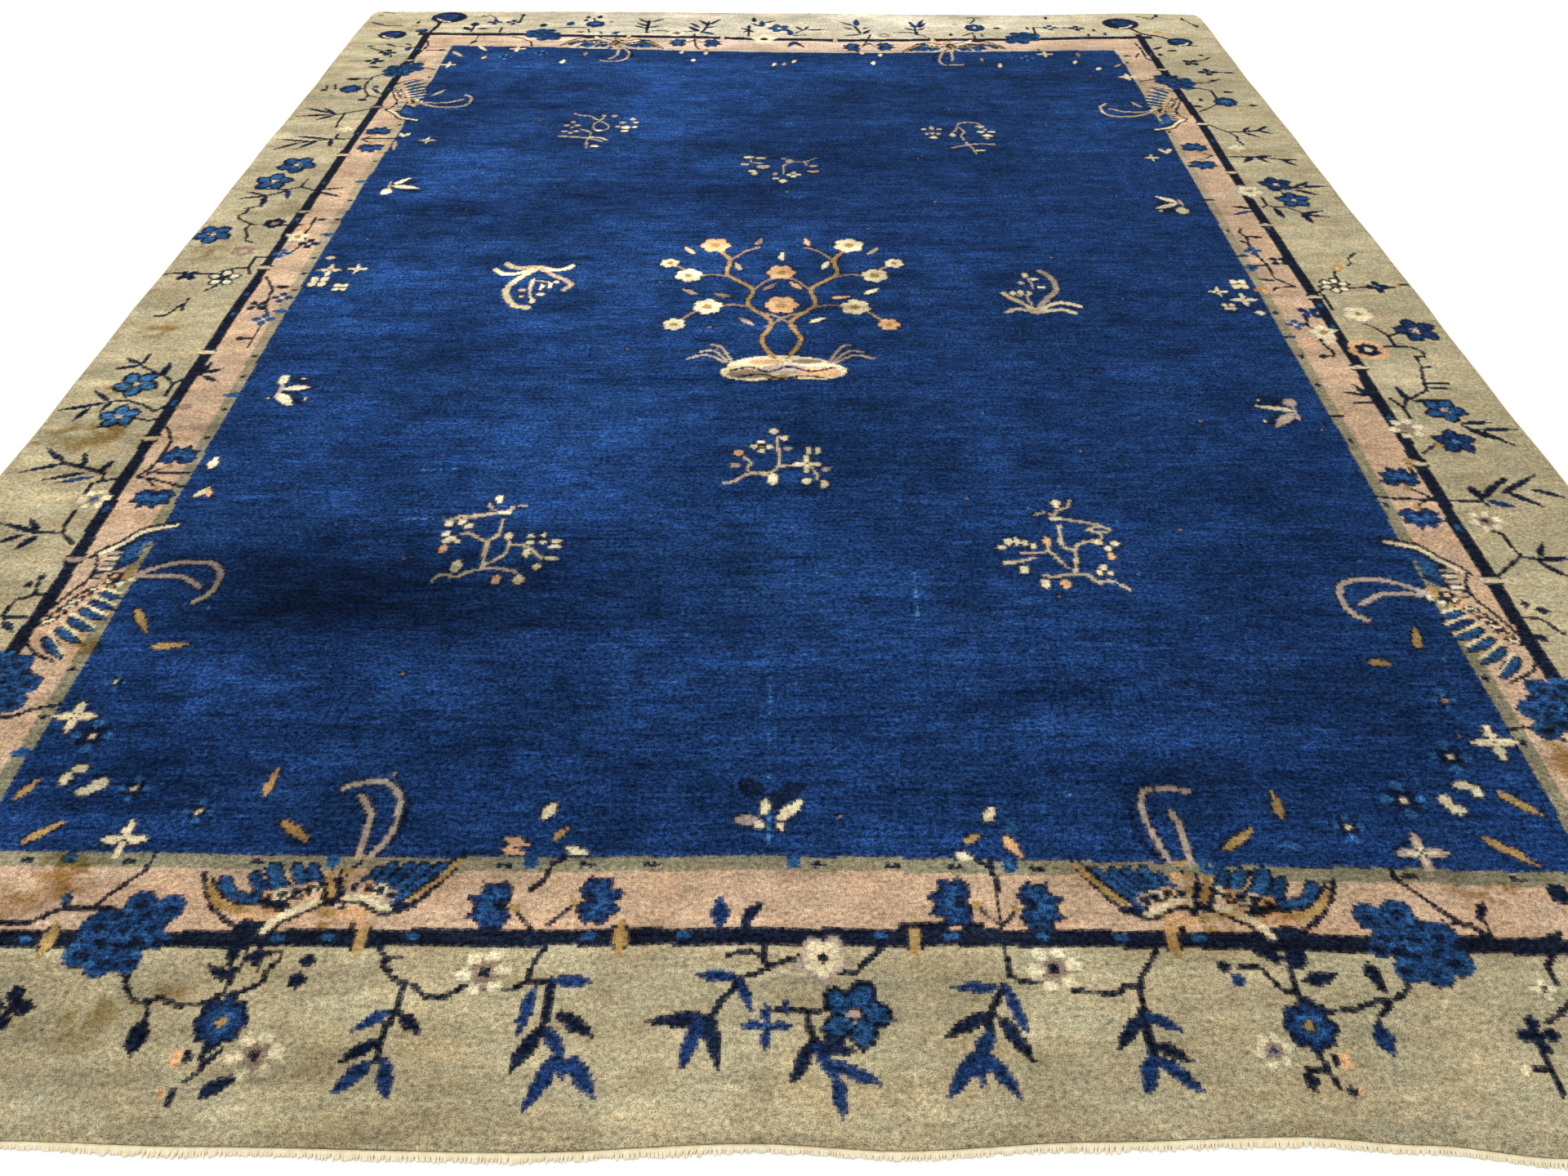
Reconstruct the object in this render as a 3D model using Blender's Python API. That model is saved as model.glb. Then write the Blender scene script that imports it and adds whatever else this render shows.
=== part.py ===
"""A flat hand-knotted wool rug with a cut cotton fringe at both ends and an overcast cord down both sides.

Metres, +Z up. The origin is on the floor under the middle of the rug. The length runs along Y, and the
near end is at -Y. Run it with: blender --background --python part.py
"""

import bisect
import math
import random

import bmesh
import bpy

# Driving sizes
RUG_WIDTH = 2.740          # over both side cords
PILE_LENGTH = 3.660        # over the pile, without the fringes
RUG_THICKNESS = 0.010      # woven ground and sheared pile together
PILE_EDGE_ROUND = 0.003    # how the cut pile rolls off at the rim
CORNER_RADIUS = 0.022      # corners are a little worn
SIDE_CORD_WIDTH = 0.006
SIDE_CORD_HEIGHT = 0.006
SIDE_CORD_ROUND = 0.0018
WEB_WIDTH = 0.004          # narrow woven strip that the fringe grows from
FRINGE_THICKNESS = 0.003
FRINGE_TIP_THICKNESS = 0.0018
FRINGE_LENGTH = 0.009      # of an average lock
LOCKS_PER_END = 140
LOCK_SHARE = 0.74          # of each lock's pitch that its root fills
SEAM_GAP = 0.0003          # left between pieces that touch

STEP_ALONG_END = 0.030
STEP_ALONG_SIDE = 0.060
CORNER_STEPS = 6

# How far each end strays from a straight line. Columns: x across the rug, y past the nominal end.
NEAR_END_WAVE = [
    (-1.37, -0.004),
    (-1.05, 0.003),
    (-0.81, 0.001),
    (-0.60, -0.004),
    (-0.27, -0.009),
    (-0.02, 0.001),
    (0.13, -0.006),
    (0.34, 0.004),
    (0.55, 0.010),
    (0.68, 0.002),
    (0.82, -0.011),
    (1.05, -0.006),
    (1.37, 0.000),
]
FAR_END_WAVE = [
    (-1.37, 0.006),
    (-0.71, 0.008),
    (0.00, -0.006),
    (0.45, -0.018),
    (0.78, -0.025),
    (1.00, -0.012),
    (1.12, -0.004),
    (1.37, -0.017),
]

# The sides waver by two slow waves. Columns: height of the wave, its length, its start.
SIDE_WAVES = [(0.0016, 0.83, 0.4), (0.0009, 0.29, 1.9)]

COLOURS = {
    "rug": (0.030, 0.075, 0.240, 1.0),
    "side_cord": (0.560, 0.440, 0.300, 1.0),
    "fringe": (0.760, 0.680, 0.480, 1.0),
}
ROUGHNESS = {"rug": 0.92, "side_cord": 0.90, "fringe": 0.88}


def clear_scene():
    for old in list(bpy.data.objects):
        bpy.data.objects.remove(old, do_unlink=True)


def wool_or_cotton(name):
    material = bpy.data.materials.new(name)
    material.use_nodes = True
    shader = material.node_tree.nodes["Principled BSDF"]
    shader.inputs["Base Color"].default_value = COLOURS[name]
    shader.inputs["Roughness"].default_value = ROUGHNESS[name]
    shader.inputs["Metallic"].default_value = 0.0
    material.diffuse_color = COLOURS[name]
    return material


def eased(table, x):
    """Reads a wave table at x, with an easy curve from row to row."""
    columns = [row[0] for row in table]
    k = min(max(bisect.bisect_right(columns, x), 1), len(table) - 1)
    (x0, y0), (x1, y1) = table[k - 1], table[k]
    t = min(max((x - x0) / (x1 - x0), 0.0), 1.0)
    return y0 + (y1 - y0) * t * t * (3 - 2 * t)


def near_line(x):
    return -PILE_LENGTH / 2 + eased(NEAR_END_WAVE, x)


def far_line(x):
    return PILE_LENGTH / 2 + eased(FAR_END_WAVE, x)


def side_line(y, side):
    """x of the pile's edge, on the left (side -1) or the right (side 1)."""
    half = RUG_WIDTH / 2 - SIDE_CORD_WIDTH - SEAM_GAP
    sway = sum(h * math.sin(2 * math.pi * y / length + start + side) for h, length, start in SIDE_WAVES)
    return side * half + sway


def stations(start, end, step):
    """Evenly spaced values from start to end, with both ends in."""
    count = max(2, round(abs(end - start) / step) + 1)
    return [start + (end - start) * k / (count - 1) for k in range(count)]


def corner_points(side, end):
    """A worn corner: a quarter turn from the end's line on to the side's line."""
    line = near_line if end < 0 else far_line
    reach = RUG_WIDTH / 2 - SIDE_CORD_WIDTH - SEAM_GAP - CORNER_RADIUS
    cy = line(side * reach) - end * CORNER_RADIUS
    cx = side_line(cy, side) - side * CORNER_RADIUS
    turns = [math.pi / 2 * k / CORNER_STEPS for k in range(CORNER_STEPS + 1)]
    return [(cx + side * CORNER_RADIUS * math.sin(a), cy + end * CORNER_RADIUS * math.cos(a)) for a in turns]


def rug_outline():
    """The pile's outline, anticlockwise from the near left corner."""
    near_left = corner_points(-1, -1)
    near_right = corner_points(1, -1)
    far_right = corner_points(1, 1)
    far_left = corner_points(-1, 1)
    near_x = stations(near_left[0][0], near_right[0][0], STEP_ALONG_END)[1:-1]
    right_y = stations(near_right[-1][1], far_right[-1][1], STEP_ALONG_SIDE)[1:-1]
    far_x = stations(far_right[0][0], far_left[0][0], STEP_ALONG_END)[1:-1]
    left_y = stations(far_left[-1][1], near_left[-1][1], STEP_ALONG_SIDE)[1:-1]
    points = near_left[::-1]
    points += [(x, near_line(x)) for x in near_x]
    points += near_right
    points += [(side_line(y, 1), y) for y in right_y]
    points += far_right[::-1]
    points += [(x, far_line(x)) for x in far_x]
    points += far_left
    points += [(side_line(y, -1), y) for y in left_y]
    return points


def side_cord_outline(side):
    """A long strip that keeps to the pile's side, a seam's gap away from it."""
    start = corner_points(side, -1)[-1][1]
    end = corner_points(side, 1)[-1][1]
    rows = stations(start, end, STEP_ALONG_SIDE)
    inner = [(side_line(y, side) + side * SEAM_GAP, y) for y in rows]
    outer = [(x + side * SIDE_CORD_WIDTH, y) for x, y in inner]
    return inner + outer[::-1]


def fringe_outline(end, seed):
    """A comb: one narrow woven web along the rug's end, and a row of cut locks that leans to and fro."""
    dice = random.Random(seed)
    line = near_line if end < 0 else far_line
    half = RUG_WIDTH / 2 - SIDE_CORD_WIDTH - CORNER_RADIUS - SEAM_GAP
    pitch = 2 * half / LOCKS_PER_END
    inner = [(x, line(x) + end * SEAM_GAP) for x in stations(-half, half, STEP_ALONG_END)]
    comb = []
    for k in range(LOCKS_PER_END):
        middle = -half + (k + 0.5) * pitch
        root = pitch * LOCK_SHARE / 2
        tip = root * dice.uniform(0.72, 0.92)
        sway = pitch * 0.12 * math.sin(k * 0.37) + dice.uniform(-0.0008, 0.0008)
        reach = FRINGE_LENGTH * dice.uniform(0.80, 1.25)
        base = line(middle) + end * (SEAM_GAP + WEB_WIDTH)
        comb += [(middle - root, base), (middle - tip + sway, base + end * reach)]
        comb += [(middle + tip + sway, base + end * reach), (middle + root, base)]
    return inner + comb[::-1]


def sheet_from_outline(name, outline, thickness, material):
    """A flat outline made solid from the floor up, as one welded mesh object."""
    curve = bpy.data.curves.new(name + "_outline", "CURVE")
    curve.dimensions = "2D"
    curve.fill_mode = "BOTH"
    curve.extrude = thickness / 2
    spline = curve.splines.new("POLY")
    spline.points.add(len(outline) - 1)
    for point, (x, y) in zip(spline.points, outline):
        point.co = (x, y, 0.0, 1.0)
    spline.use_cyclic_u = True
    drawn = bpy.data.objects.new(name + "_outline", curve)
    drawn.location.z = thickness / 2
    bpy.context.scene.collection.objects.link(drawn)
    bpy.context.view_layer.update()
    depsgraph = bpy.context.evaluated_depsgraph_get()
    mesh = bpy.data.meshes.new_from_object(drawn.evaluated_get(depsgraph))
    mesh.name = name
    solid = bpy.data.objects.new(name, mesh)
    solid.matrix_world = drawn.matrix_world.copy()
    bpy.data.objects.remove(drawn, do_unlink=True)
    shape = bmesh.new()
    shape.from_mesh(mesh)
    bmesh.ops.remove_doubles(shape, verts=shape.verts, dist=0.00002)
    bmesh.ops.recalc_face_normals(shape, faces=shape.faces)
    shape.to_mesh(mesh)
    shape.free()
    mesh.materials.clear()
    mesh.materials.append(material)
    return solid


def round_top_rim(solid, width, segments):
    """Rolls off the edge between the top face and the walls."""
    shape = bmesh.new()
    shape.from_mesh(solid.data)
    top = max(v.co.z for v in shape.verts)
    rim = []
    for edge in shape.edges:
        on_top = all(top - v.co.z < 0.00001 for v in edge.verts)
        has_wall = any(abs(face.normal.z) < 0.5 for face in edge.link_faces)
        if on_top and has_wall:
            rim.append(edge)
    bmesh.ops.bevel(shape, geom=rim, offset=width, segments=segments, profile=0.5, affect="EDGES")
    shape.to_mesh(solid.data)
    shape.free()


def thin_lock_tips(fringe, end):
    """Cut yarn ends flatten out: the top slopes down from the web to the tips, and the underside stays flat."""
    line = near_line if end < 0 else far_line
    floor = min(v.co.z for v in fringe.data.vertices)
    slope = (FRINGE_THICKNESS - FRINGE_TIP_THICKNESS) / FRINGE_LENGTH
    for vertex in fringe.data.vertices:
        past_web = end * (vertex.co.y - line(vertex.co.x)) - SEAM_GAP - WEB_WIDTH
        if vertex.co.z > floor + 0.5 * FRINGE_THICKNESS and past_web > 0:
            drop = min(slope * past_web, FRINGE_THICKNESS - FRINGE_TIP_THICKNESS)
            vertex.co.z -= drop


def build():
    clear_scene()
    parts = bpy.data.collections.new("knotted_rug")
    bpy.context.scene.collection.children.link(parts)
    wool = wool_or_cotton("rug")
    cord = wool_or_cotton("side_cord")
    cotton = wool_or_cotton("fringe")

    rug = sheet_from_outline("rug", rug_outline(), RUG_THICKNESS, wool)
    round_top_rim(rug, PILE_EDGE_ROUND, 3)
    parts.objects.link(rug)

    for name, side in (("selvedge_left", -1), ("selvedge_right", 1)):
        selvedge = sheet_from_outline(name, side_cord_outline(side), SIDE_CORD_HEIGHT, cord)
        round_top_rim(selvedge, SIDE_CORD_ROUND, 2)
        parts.objects.link(selvedge)

    for name, end, seed in (("fringe_near", -1, 11), ("fringe_far", 1, 23)):
        fringe = sheet_from_outline(name, fringe_outline(end, seed), FRINGE_THICKNESS, cotton)
        thin_lock_tips(fringe, end)
        parts.objects.link(fringe)


build()
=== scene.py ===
# A hand-knotted wool rug, 9 by 12 ft: its knots, ground cloth, cut fringe and side cords, on a pale floor.
import math

import bmesh
import bpy
import numpy as np
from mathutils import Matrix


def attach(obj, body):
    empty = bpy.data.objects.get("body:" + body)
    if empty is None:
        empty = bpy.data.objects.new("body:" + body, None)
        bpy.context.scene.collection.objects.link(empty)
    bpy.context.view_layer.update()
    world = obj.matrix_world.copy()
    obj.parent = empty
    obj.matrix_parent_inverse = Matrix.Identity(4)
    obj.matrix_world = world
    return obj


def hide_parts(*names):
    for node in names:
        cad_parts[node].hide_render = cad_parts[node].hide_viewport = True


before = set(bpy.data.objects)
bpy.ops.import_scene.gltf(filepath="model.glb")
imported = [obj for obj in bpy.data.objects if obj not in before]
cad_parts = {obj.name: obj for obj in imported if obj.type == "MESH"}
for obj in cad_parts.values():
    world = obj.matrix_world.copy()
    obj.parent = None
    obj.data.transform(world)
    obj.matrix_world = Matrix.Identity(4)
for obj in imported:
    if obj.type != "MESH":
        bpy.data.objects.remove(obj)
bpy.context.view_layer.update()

print("placing the camera")
cameraSpec = {
    "place": (0.0133, -2.337, 1.266),
    "lensMm": 27.06,
    "tiltDeg": 47.18,      # from straight down
    "turnDeg": 0.204,
}
cameraData = bpy.data.cameras.new("camera")
cameraData.lens = cameraSpec["lensMm"]
cameraData.sensor_width = 36.0
cameraData.clip_start = 0.05
camera = bpy.data.objects.new("camera", cameraData)
camera.location = cameraSpec["place"]
camera.rotation_euler = (math.radians(cameraSpec["tiltDeg"]), 0.0, math.radians(cameraSpec["turnDeg"]))
bpy.context.scene.collection.objects.link(camera)
bpy.context.scene.camera = camera

# The rug's outline and its lattice of knots, the same lines as the frame's solids. In metres, or as Mm says.
rugSpec = {
    "width": 2.740,          # over the side cords
    "length": 3.660,         # over the pile
    "cornerRadius": 0.022,
    "cordWidth": 0.006,
    "seamGap": 0.0003,
    "pileTop": 0.010,
    "groundTop": 0.003,
}
# How far each end strays from straight. Columns: x, stray.
nearEnd = [(-1.37, -0.004), (-1.05, 0.003), (-0.81, 0.001), (-0.60, -0.004), (-0.27, -0.009), (-0.02, 0.001),
           (0.13, -0.006), (0.34, 0.004), (0.55, 0.010), (0.68, 0.002), (0.82, -0.011), (1.05, -0.006),
           (1.37, 0.0)]
farEnd = [(-1.37, 0.006), (-0.71, 0.008), (0.0, -0.006), (0.45, -0.018), (0.78, -0.025), (1.0, -0.012),
          (1.12, -0.004), (1.37, -0.017)]
sideWaves = [(0.0016, 0.83, 0.4), (0.0009, 0.29, 1.9)]   # height, length, start


def eased(table, at):
    # reads a table of two columns at one or many places, with an easy curve between its rows
    places = np.array([row[0] for row in table], float)
    values = np.array([row[1] for row in table], float)
    at = np.clip(at, places[0], places[-1])
    k = np.clip(np.searchsorted(places, at, side="right"), 1, len(places) - 1)
    t = (at - places[k - 1]) / (places[k] - places[k - 1])
    return values[k - 1] + (values[k] - values[k - 1]) * t * t * (3 - 2 * t)


def nearLine(x):
    return -rugSpec["length"] / 2 + eased(nearEnd, x)


def farLine(x):
    return rugSpec["length"] / 2 + eased(farEnd, x)


def sideLine(y, side):
    half = rugSpec["width"] / 2 - rugSpec["cordWidth"] - rugSpec["seamGap"]
    sway = sum(h * np.sin(2 * math.pi * y / long + start + side) for h, long, start in sideWaves)
    return side * half + sway


def latticePoints(cols, rows):
    # the corners of all knots, in millimetres: x from the middle, d from the near end's nominal line
    across = np.linspace(0, 1, cols + 1)[None, :]
    down = np.linspace(0, 1, rows + 1)[:, None]
    x = (across - 0.5) * rugSpec["width"] + 0 * down
    y = (down - 0.5) * rugSpec["length"] + 0 * across
    for _ in range(4):
        y = nearLine(x) + (farLine(x) - nearLine(x)) * down
        x = sideLine(y, -1) + (sideLine(y, 1) - sideLine(y, -1)) * across
    radius = rugSpec["cornerRadius"]
    for side in (-1, 1):
        for end, line in ((-1, nearLine), (1, farLine)):
            cy = line(side * (rugSpec["width"] / 2 - rugSpec["cordWidth"] - radius)) - end * radius
            cx = sideLine(cy, side) - side * radius
            s = np.clip((x - cx) * side / radius, 0, 1)
            t = np.clip((y - cy) * end / radius, 0, 1)
            corner = ((x - cx) * side > 0) & ((y - cy) * end > 0)
            shrink = np.maximum(s, t) / np.maximum(np.hypot(s, t), 1e-9)
            x = np.where(corner, cx + side * radius * s * shrink, x)
            y = np.where(corner, cy + end * radius * t * shrink, y)
    return x * 1000, (y + rugSpec["length"] / 2) * 1000
# The knot chart. Its shapes are drawn in millimetres of the rug: x from the middle, d from the near end.
print("charting the knots")
chartSpec = {
    "knotMm": 4.2,        # six knots to the inch
    "guardMm": 21.0,      # khaki stripe round the field
    "poleMm": 24.5,       # navy bamboo pole
    "jointMm": 14.0,      # ochre joint across the pole
    "vineMm": 7.4,        # nearly two knots
}
yarns = {
    "field": "#18335f", "khaki": "#aa9f80", "guard": "#837e67", "rose": "#bfa286",
    "navy": "#141a29", "leafNavy": "#131c30", "leafBlue": "#1a3058", "midBlue": "#254b76",
    "skyBlue": "#3d6c9c", "cream": "#ddd1ad", "taupe": "#8f7b69", "ochre": "#a48552",
    "peach": "#d3a67a", "plume": "#a8998b", "shade": "#121f39", "pink": "#cbab9b", "straw": "#c2b18f",
    "petalBlue": "#1d3b64", "bloomBlue": "#2c5888",
}
yarnNames = list(yarns)
yarnIndex = {name: k for k, name in enumerate(yarnNames)}

# How the bands waver on this rug. Columns: place along the edge, place of the line.
fieldNear = [(-1030, 354), (-800, 353), (-400, 348), (0, 351), (400, 345), (700, 337), (1015, 330)]
fieldFar = [(-1030, 3330), (-800, 3321), (-500, 3301), (-200, 3281), (100, 3270), (300, 3270), (600, 3282),
            (1020, 3296)]
fieldLeft = [(350, -1018), (750, -1018), (1200, -1030), (1750, -1040), (2200, -1042), (2700, -1035),
             (3330, -1032)]
fieldRight = [(330, 1014), (800, 1016), (1300, 1024), (2100, 1027), (2700, 1030), (3100, 1028), (3300, 1022)]
poleNear = [(-1130, 230), (-800, 232), (-400, 236), (0, 239), (300, 238), (500, 236), (700, 232), (1130, 226)]
poleFar = [(-1200, 3439), (-900, 3437), (-600, 3421), (-300, 3410), (0, 3390), (200, 3382), (600, 3390),
           (1120, 3411)]
poleLeft = [(230, -1128), (850, -1133), (1200, -1143), (1500, -1147), (2000, -1148), (2500, -1142),
            (3000, -1139),
            (3440, -1134)]
poleRight = [(230, 1123), (900, 1126), (1300, 1133), (1750, 1139), (2300, 1136), (2700, 1141), (3100, 1130),
             (3400, 1124)]

knotMm = chartSpec["knotMm"]
chartCols = 4 * round(rugSpec["width"] * 250 / knotMm)
# whole blocks of four knots, as the pile is cut up in
chartRows = 4 * round(rugSpec["length"] * 250 / knotMm)
cornerX, cornerD = latticePoints(chartCols, chartRows)
knotX = (cornerX[:-1, :-1] + cornerX[1:, 1:]) / 2
knotD = (cornerD[:-1, :-1] + cornerD[1:, 1:]) / 2
chart = np.zeros((chartRows, chartCols), np.int8)


def nearby(xLow, xHigh, dLow, dHigh):
    # the rows and columns that a shape between these lines can touch
    half = rugSpec["width"] * 500
    rows = slice(max(0, int(dLow / knotMm) - 9), max(0, int(dHigh / knotMm) + 9))
    cols = slice(max(0, int((xLow + half) / knotMm) - 4), max(0, int((xHigh + half) / knotMm) + 5))
    return rows, cols


def blob(x, d, wide, deep, yarn, turn=0.0):
    reach = max(wide, deep) / 2
    rows, cols = nearby(x - reach, x + reach, d - reach, d + reach)
    dx, dd = knotX[rows, cols] - x, knotD[rows, cols] - d
    c, s = math.cos(turn), math.sin(turn)
    inside = ((dx * c + dd * s) / wide) ** 2 + ((dd * c - dx * s) / deep) ** 2 <= 0.25
    chart[rows, cols][inside] = yarnIndex[yarn]


def stroke(points, yarn, wide=chartSpec["vineMm"], belly=None):
    # a line of one width, or with belly a leaf that swells at that share of its length and ends in a point
    for (x0, d0), (x1, d1) in zip(points, points[1:]):
        reach = wide / 2
        rows, cols = nearby(min(x0, x1) - reach, max(x0, x1) + reach, min(d0, d1) - reach,
                            max(d0, d1) + reach)
        px, pd = knotX[rows, cols] - x0, knotD[rows, cols] - d0
        long = math.hypot(x1 - x0, d1 - d0) + 1e-6
        ax, ad = (x1 - x0) / long, (d1 - d0) / long
        along = (px * ax + pd * ad) / long
        off = np.hypot(px - np.clip(along, 0, 1) * long * ax, pd - np.clip(along, 0, 1) * long * ad)
        room = reach
        if belly is not None:
            t = np.clip(along, 0.001, 0.999) ** (math.log(0.5) / math.log(belly))
            room = np.maximum(reach * np.sin(math.pi * t) ** 0.55, 2.6)
        chart[rows, cols][off <= room] = yarnIndex[yarn]


def leaf(x0, d0, x1, d1, yarn="leafBlue", wide=16.0):
    stroke([(x0, d0), (x1, d1)], yarn, wide, 0.42)


def curve(points, yarn, wide=chartSpec["vineMm"]):
    # a smooth line through its points
    padded = [points[0]] + list(points) + [points[-1]]
    smooth = []
    for p0, p1, p2, p3 in zip(padded, padded[1:], padded[2:], padded[3:]):
        for step in range(6):
            t = step / 6
            smooth.append(tuple(
                0.5 * (2 * b + (c - a) * t + (2 * a - 5 * b + 4 * c - e) * t * t
                       + (3 * b - a - 3 * c + e) * t ** 3)
                for a, b, c, e in zip(p0, p1, p2, p3)))
    stroke(smooth + [points[-1]], yarn, wide)


def petals(x, d, radius, count, yarn, heart=None, turn=90.0, share=0.36):
    # round petals about a heart
    for k in range(count):
        a = math.radians(turn + 360 * k / count)
        blob(x + 0.56 * radius * math.cos(a), d + 0.56 * radius * math.sin(a), 1.0 * radius, 0.86 * radius,
             yarn, a)
    if heart:
        blob(x, d, max(7.5, 2 * share * radius), max(7.5, 2 * share * radius), heart)


def star(x, d, radius, count, yarn, heart=None, turn=90.0):
    # pointed petals about a heart
    for k in range(count):
        a = math.radians(turn + 360 * k / count)
        leaf(x, d, x + radius * math.cos(a), d + radius * math.sin(a), yarn, 0.74 * radius)
    if heart:
        blob(x, d, max(8, 0.62 * radius), max(8, 0.62 * radius), heart)


def drawn(place, u, v):
    # from a motif's own lines, u along the border and v towards the field, to the rug
    x, d, side, flip = place
    ux, ud, vx, vd = {"near": (1, 0, 0, 1), "far": (1, 0, 0, -1), "left": (0, 1, 1, 0),
                      "right": (0, 1, -1, 0)}[side]
    return x + flip * u * ux + v * vx, d + flip * u * ud + v * vd


def drawnLine(place, points):
    return [drawn(place, u, v) for u, v in points]


def peony(x, d, side="near", flip=1):
    # lobes of small petals, each lobe with its navy outline and dark heart
    place = (x, d, side, flip)
    blob(*drawn(place, 8, 6), 84, 70, "leafNavy")
    for k, (u, v,
            radius) in enumerate([(5, 10, 20), (13, 45, 20), (50, 40, 20), (-26, 15, 21), (38, 13, 18),
                                  (-32, -20, 20),
                                        (28, -30, 18), (52, -3, 13), (-2, -32, 21)]):
        blob(*drawn(place, u, v), 2.0 * radius, 2.0 * radius, "leafNavy")
        for petal in range(6):
            a = 2 * math.pi * petal / 6 + 0.7 * k
            pu, pv = u + 0.6 * radius * math.cos(a), v + 0.6 * radius * math.sin(a)
            blob(*drawn(place, pu, pv), 0.80 * radius, 0.78 * radius, "midBlue" if (petal + 2 * k) % 5 == 0
                 else "petalBlue")
        blob(*drawn(place, u, v), 0.66 * radius, 0.62 * radius, "petalBlue")
        blob(*drawn(place, u + 3, v - 2), 17, 13 if k % 2 else 10, "leafNavy")


def spreadPetals(x, d, radius, count, yarn, heart, turn=90.0):
    # round petals that stay apart, about a small heart
    for k in range(count):
        a = math.radians(turn + 360 * k / count)
        blob(x + 0.62 * radius * math.cos(a), d + 0.62 * radius * math.sin(a), 0.86 * radius, 0.76 * radius,
             yarn, a)
    blob(x, d, max(8.5, 0.42 * radius), max(8.5, 0.42 * radius), heart)


def pinwheel(x, d, radius, inside, heart):
    # five pointed petals that lean one way, blue inside a navy rim
    start = (0.7 * x + d) % 72
    for yarn, wide, short in (("leafNavy", 0.80, 0.0), (inside, 0.46, 7.0)):
        for k in range(5):
            a = math.radians(start + 72 * k)
            leaf(x + 0.28 * radius * math.cos(a + 0.6), d + 0.28 * radius * math.sin(a + 0.6),
                 x + (radius - short) * math.cos(a), d + (radius - short) * math.sin(a), yarn, wide * radius)
    blob(x, d, 0.44 * radius, 0.44 * radius, "leafNavy")
    blob(x, d, 13, 13, heart)


def ringFlower(x, d, radius, count, heart):
    # cream petals, each inside an open navy ring
    for k in range(count):
        a = math.radians(18 + 360 * k / count)
        at = (x + 0.62 * radius * math.cos(a), d + 0.62 * radius * math.sin(a))
        blob(*at, 0.86 * radius, 0.78 * radius, "leafNavy", a)
        blob(*at, 0.86 * radius - 11, 0.78 * radius - 11, "cream", a)
    blob(x, d, 15, 14, "leafNavy")
    blob(x, d, 8, 8, heart)


def roundFlower(x, d, radius=30, heart="ochre"):
    petals(x, d, radius, 8, "leafNavy")
    star(x, d, radius * 0.86, 8, "leafBlue")
    petals(x, d, radius * 0.5, 6, "midBlue")
    blob(x, d, 16, 15, "leafNavy")
    blob(x, d, 12 if heart == "skyBlue" else 10, 11, heart)


def creamFlower(x, d, radius=28, heart="navy", rim="taupe"):
    # six broad pale petals round a brown ring
    petals(x, d, radius * 0.56, 5, rim, turn=65)
    for turn, wide, deep in ((12, 0.62, 0.54), (72, 0.52, 0.5), (128, 0.56, 0.5), (188, 0.62, 0.56),
                             (250, 0.5, 0.5), (312, 0.56, 0.52)):
        a = math.radians(turn)
        blob(x + 0.72 * radius * math.cos(a), d + 0.72 * radius * math.sin(a), wide * radius, deep * radius,
             "cream")
    blob(x, d, 0.46 * radius, 0.42 * radius, heart)


def cross(x, d, radius, yarn, heart=None, wide=0.46):
    # four pointed petals that don't quite meet
    for du, dv in ((1, 0), (0, 1), (-1, 0), (0, -1)):
        leaf(x + 0.10 * radius * du, d + 0.10 * radius * dv, x + radius * du, d + radius * dv, yarn,
             wide * radius)
    if heart:
        blob(x, d, 7.5, 7.5, heart)


def looseCross(x, d, radius, yarn="bloomBlue", heart="cream"):
    # four petals well apart, about a small pale heart, on a dark patch
    blob(x, d, 1.9 * radius, 1.7 * radius, "shade")
    for du, dv in ((1, 0), (0, 1), (-1, 0), (0, -1)):
        blob(x + 0.95 * radius * du, d + 0.95 * radius * dv, 0.66 * radius, 0.72 * radius if dv
             else 0.56 * radius, yarn)
    blob(x, d, 0.4 * radius, 8, heart)


def halfFlower(x, d, side, flip):
    # a blossom seen from its side: pointed petals fan away from its partner
    # its stem runs down to the pole
    place = (x, d, side, flip)
    for yarn, wide, short in (("leafNavy", 27, 0), ("leafBlue", 18, 4)):
        for turn, long in ((-88, 33), (-56, 41), (-22, 43), (14, 44), (50, 42), (86, 35)):
            a = math.radians(turn)
            leaf(*drawn(place, -6, 0),
                 *drawn(place, -6 + (long - short) * math.cos(a), (long - short) * math.sin(a)), yarn, wide)
    for turn in (-72, -38, -4, 32, 68):
        a = math.radians(turn)
        leaf(*drawn(place, -2, 0), *drawn(place, -4 + 27 * math.cos(a), 27 * math.sin(a)), "midBlue", 8)
    blob(*drawn(place, -4, 1), 17, 17, "leafNavy")
    blob(*drawn(place, -24, -4), 13, 14, "ochre")
    stroke(drawnLine(place, [(-27, -10), (-34, -18), (-50, -34)]), "navy", 5.2)


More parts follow.
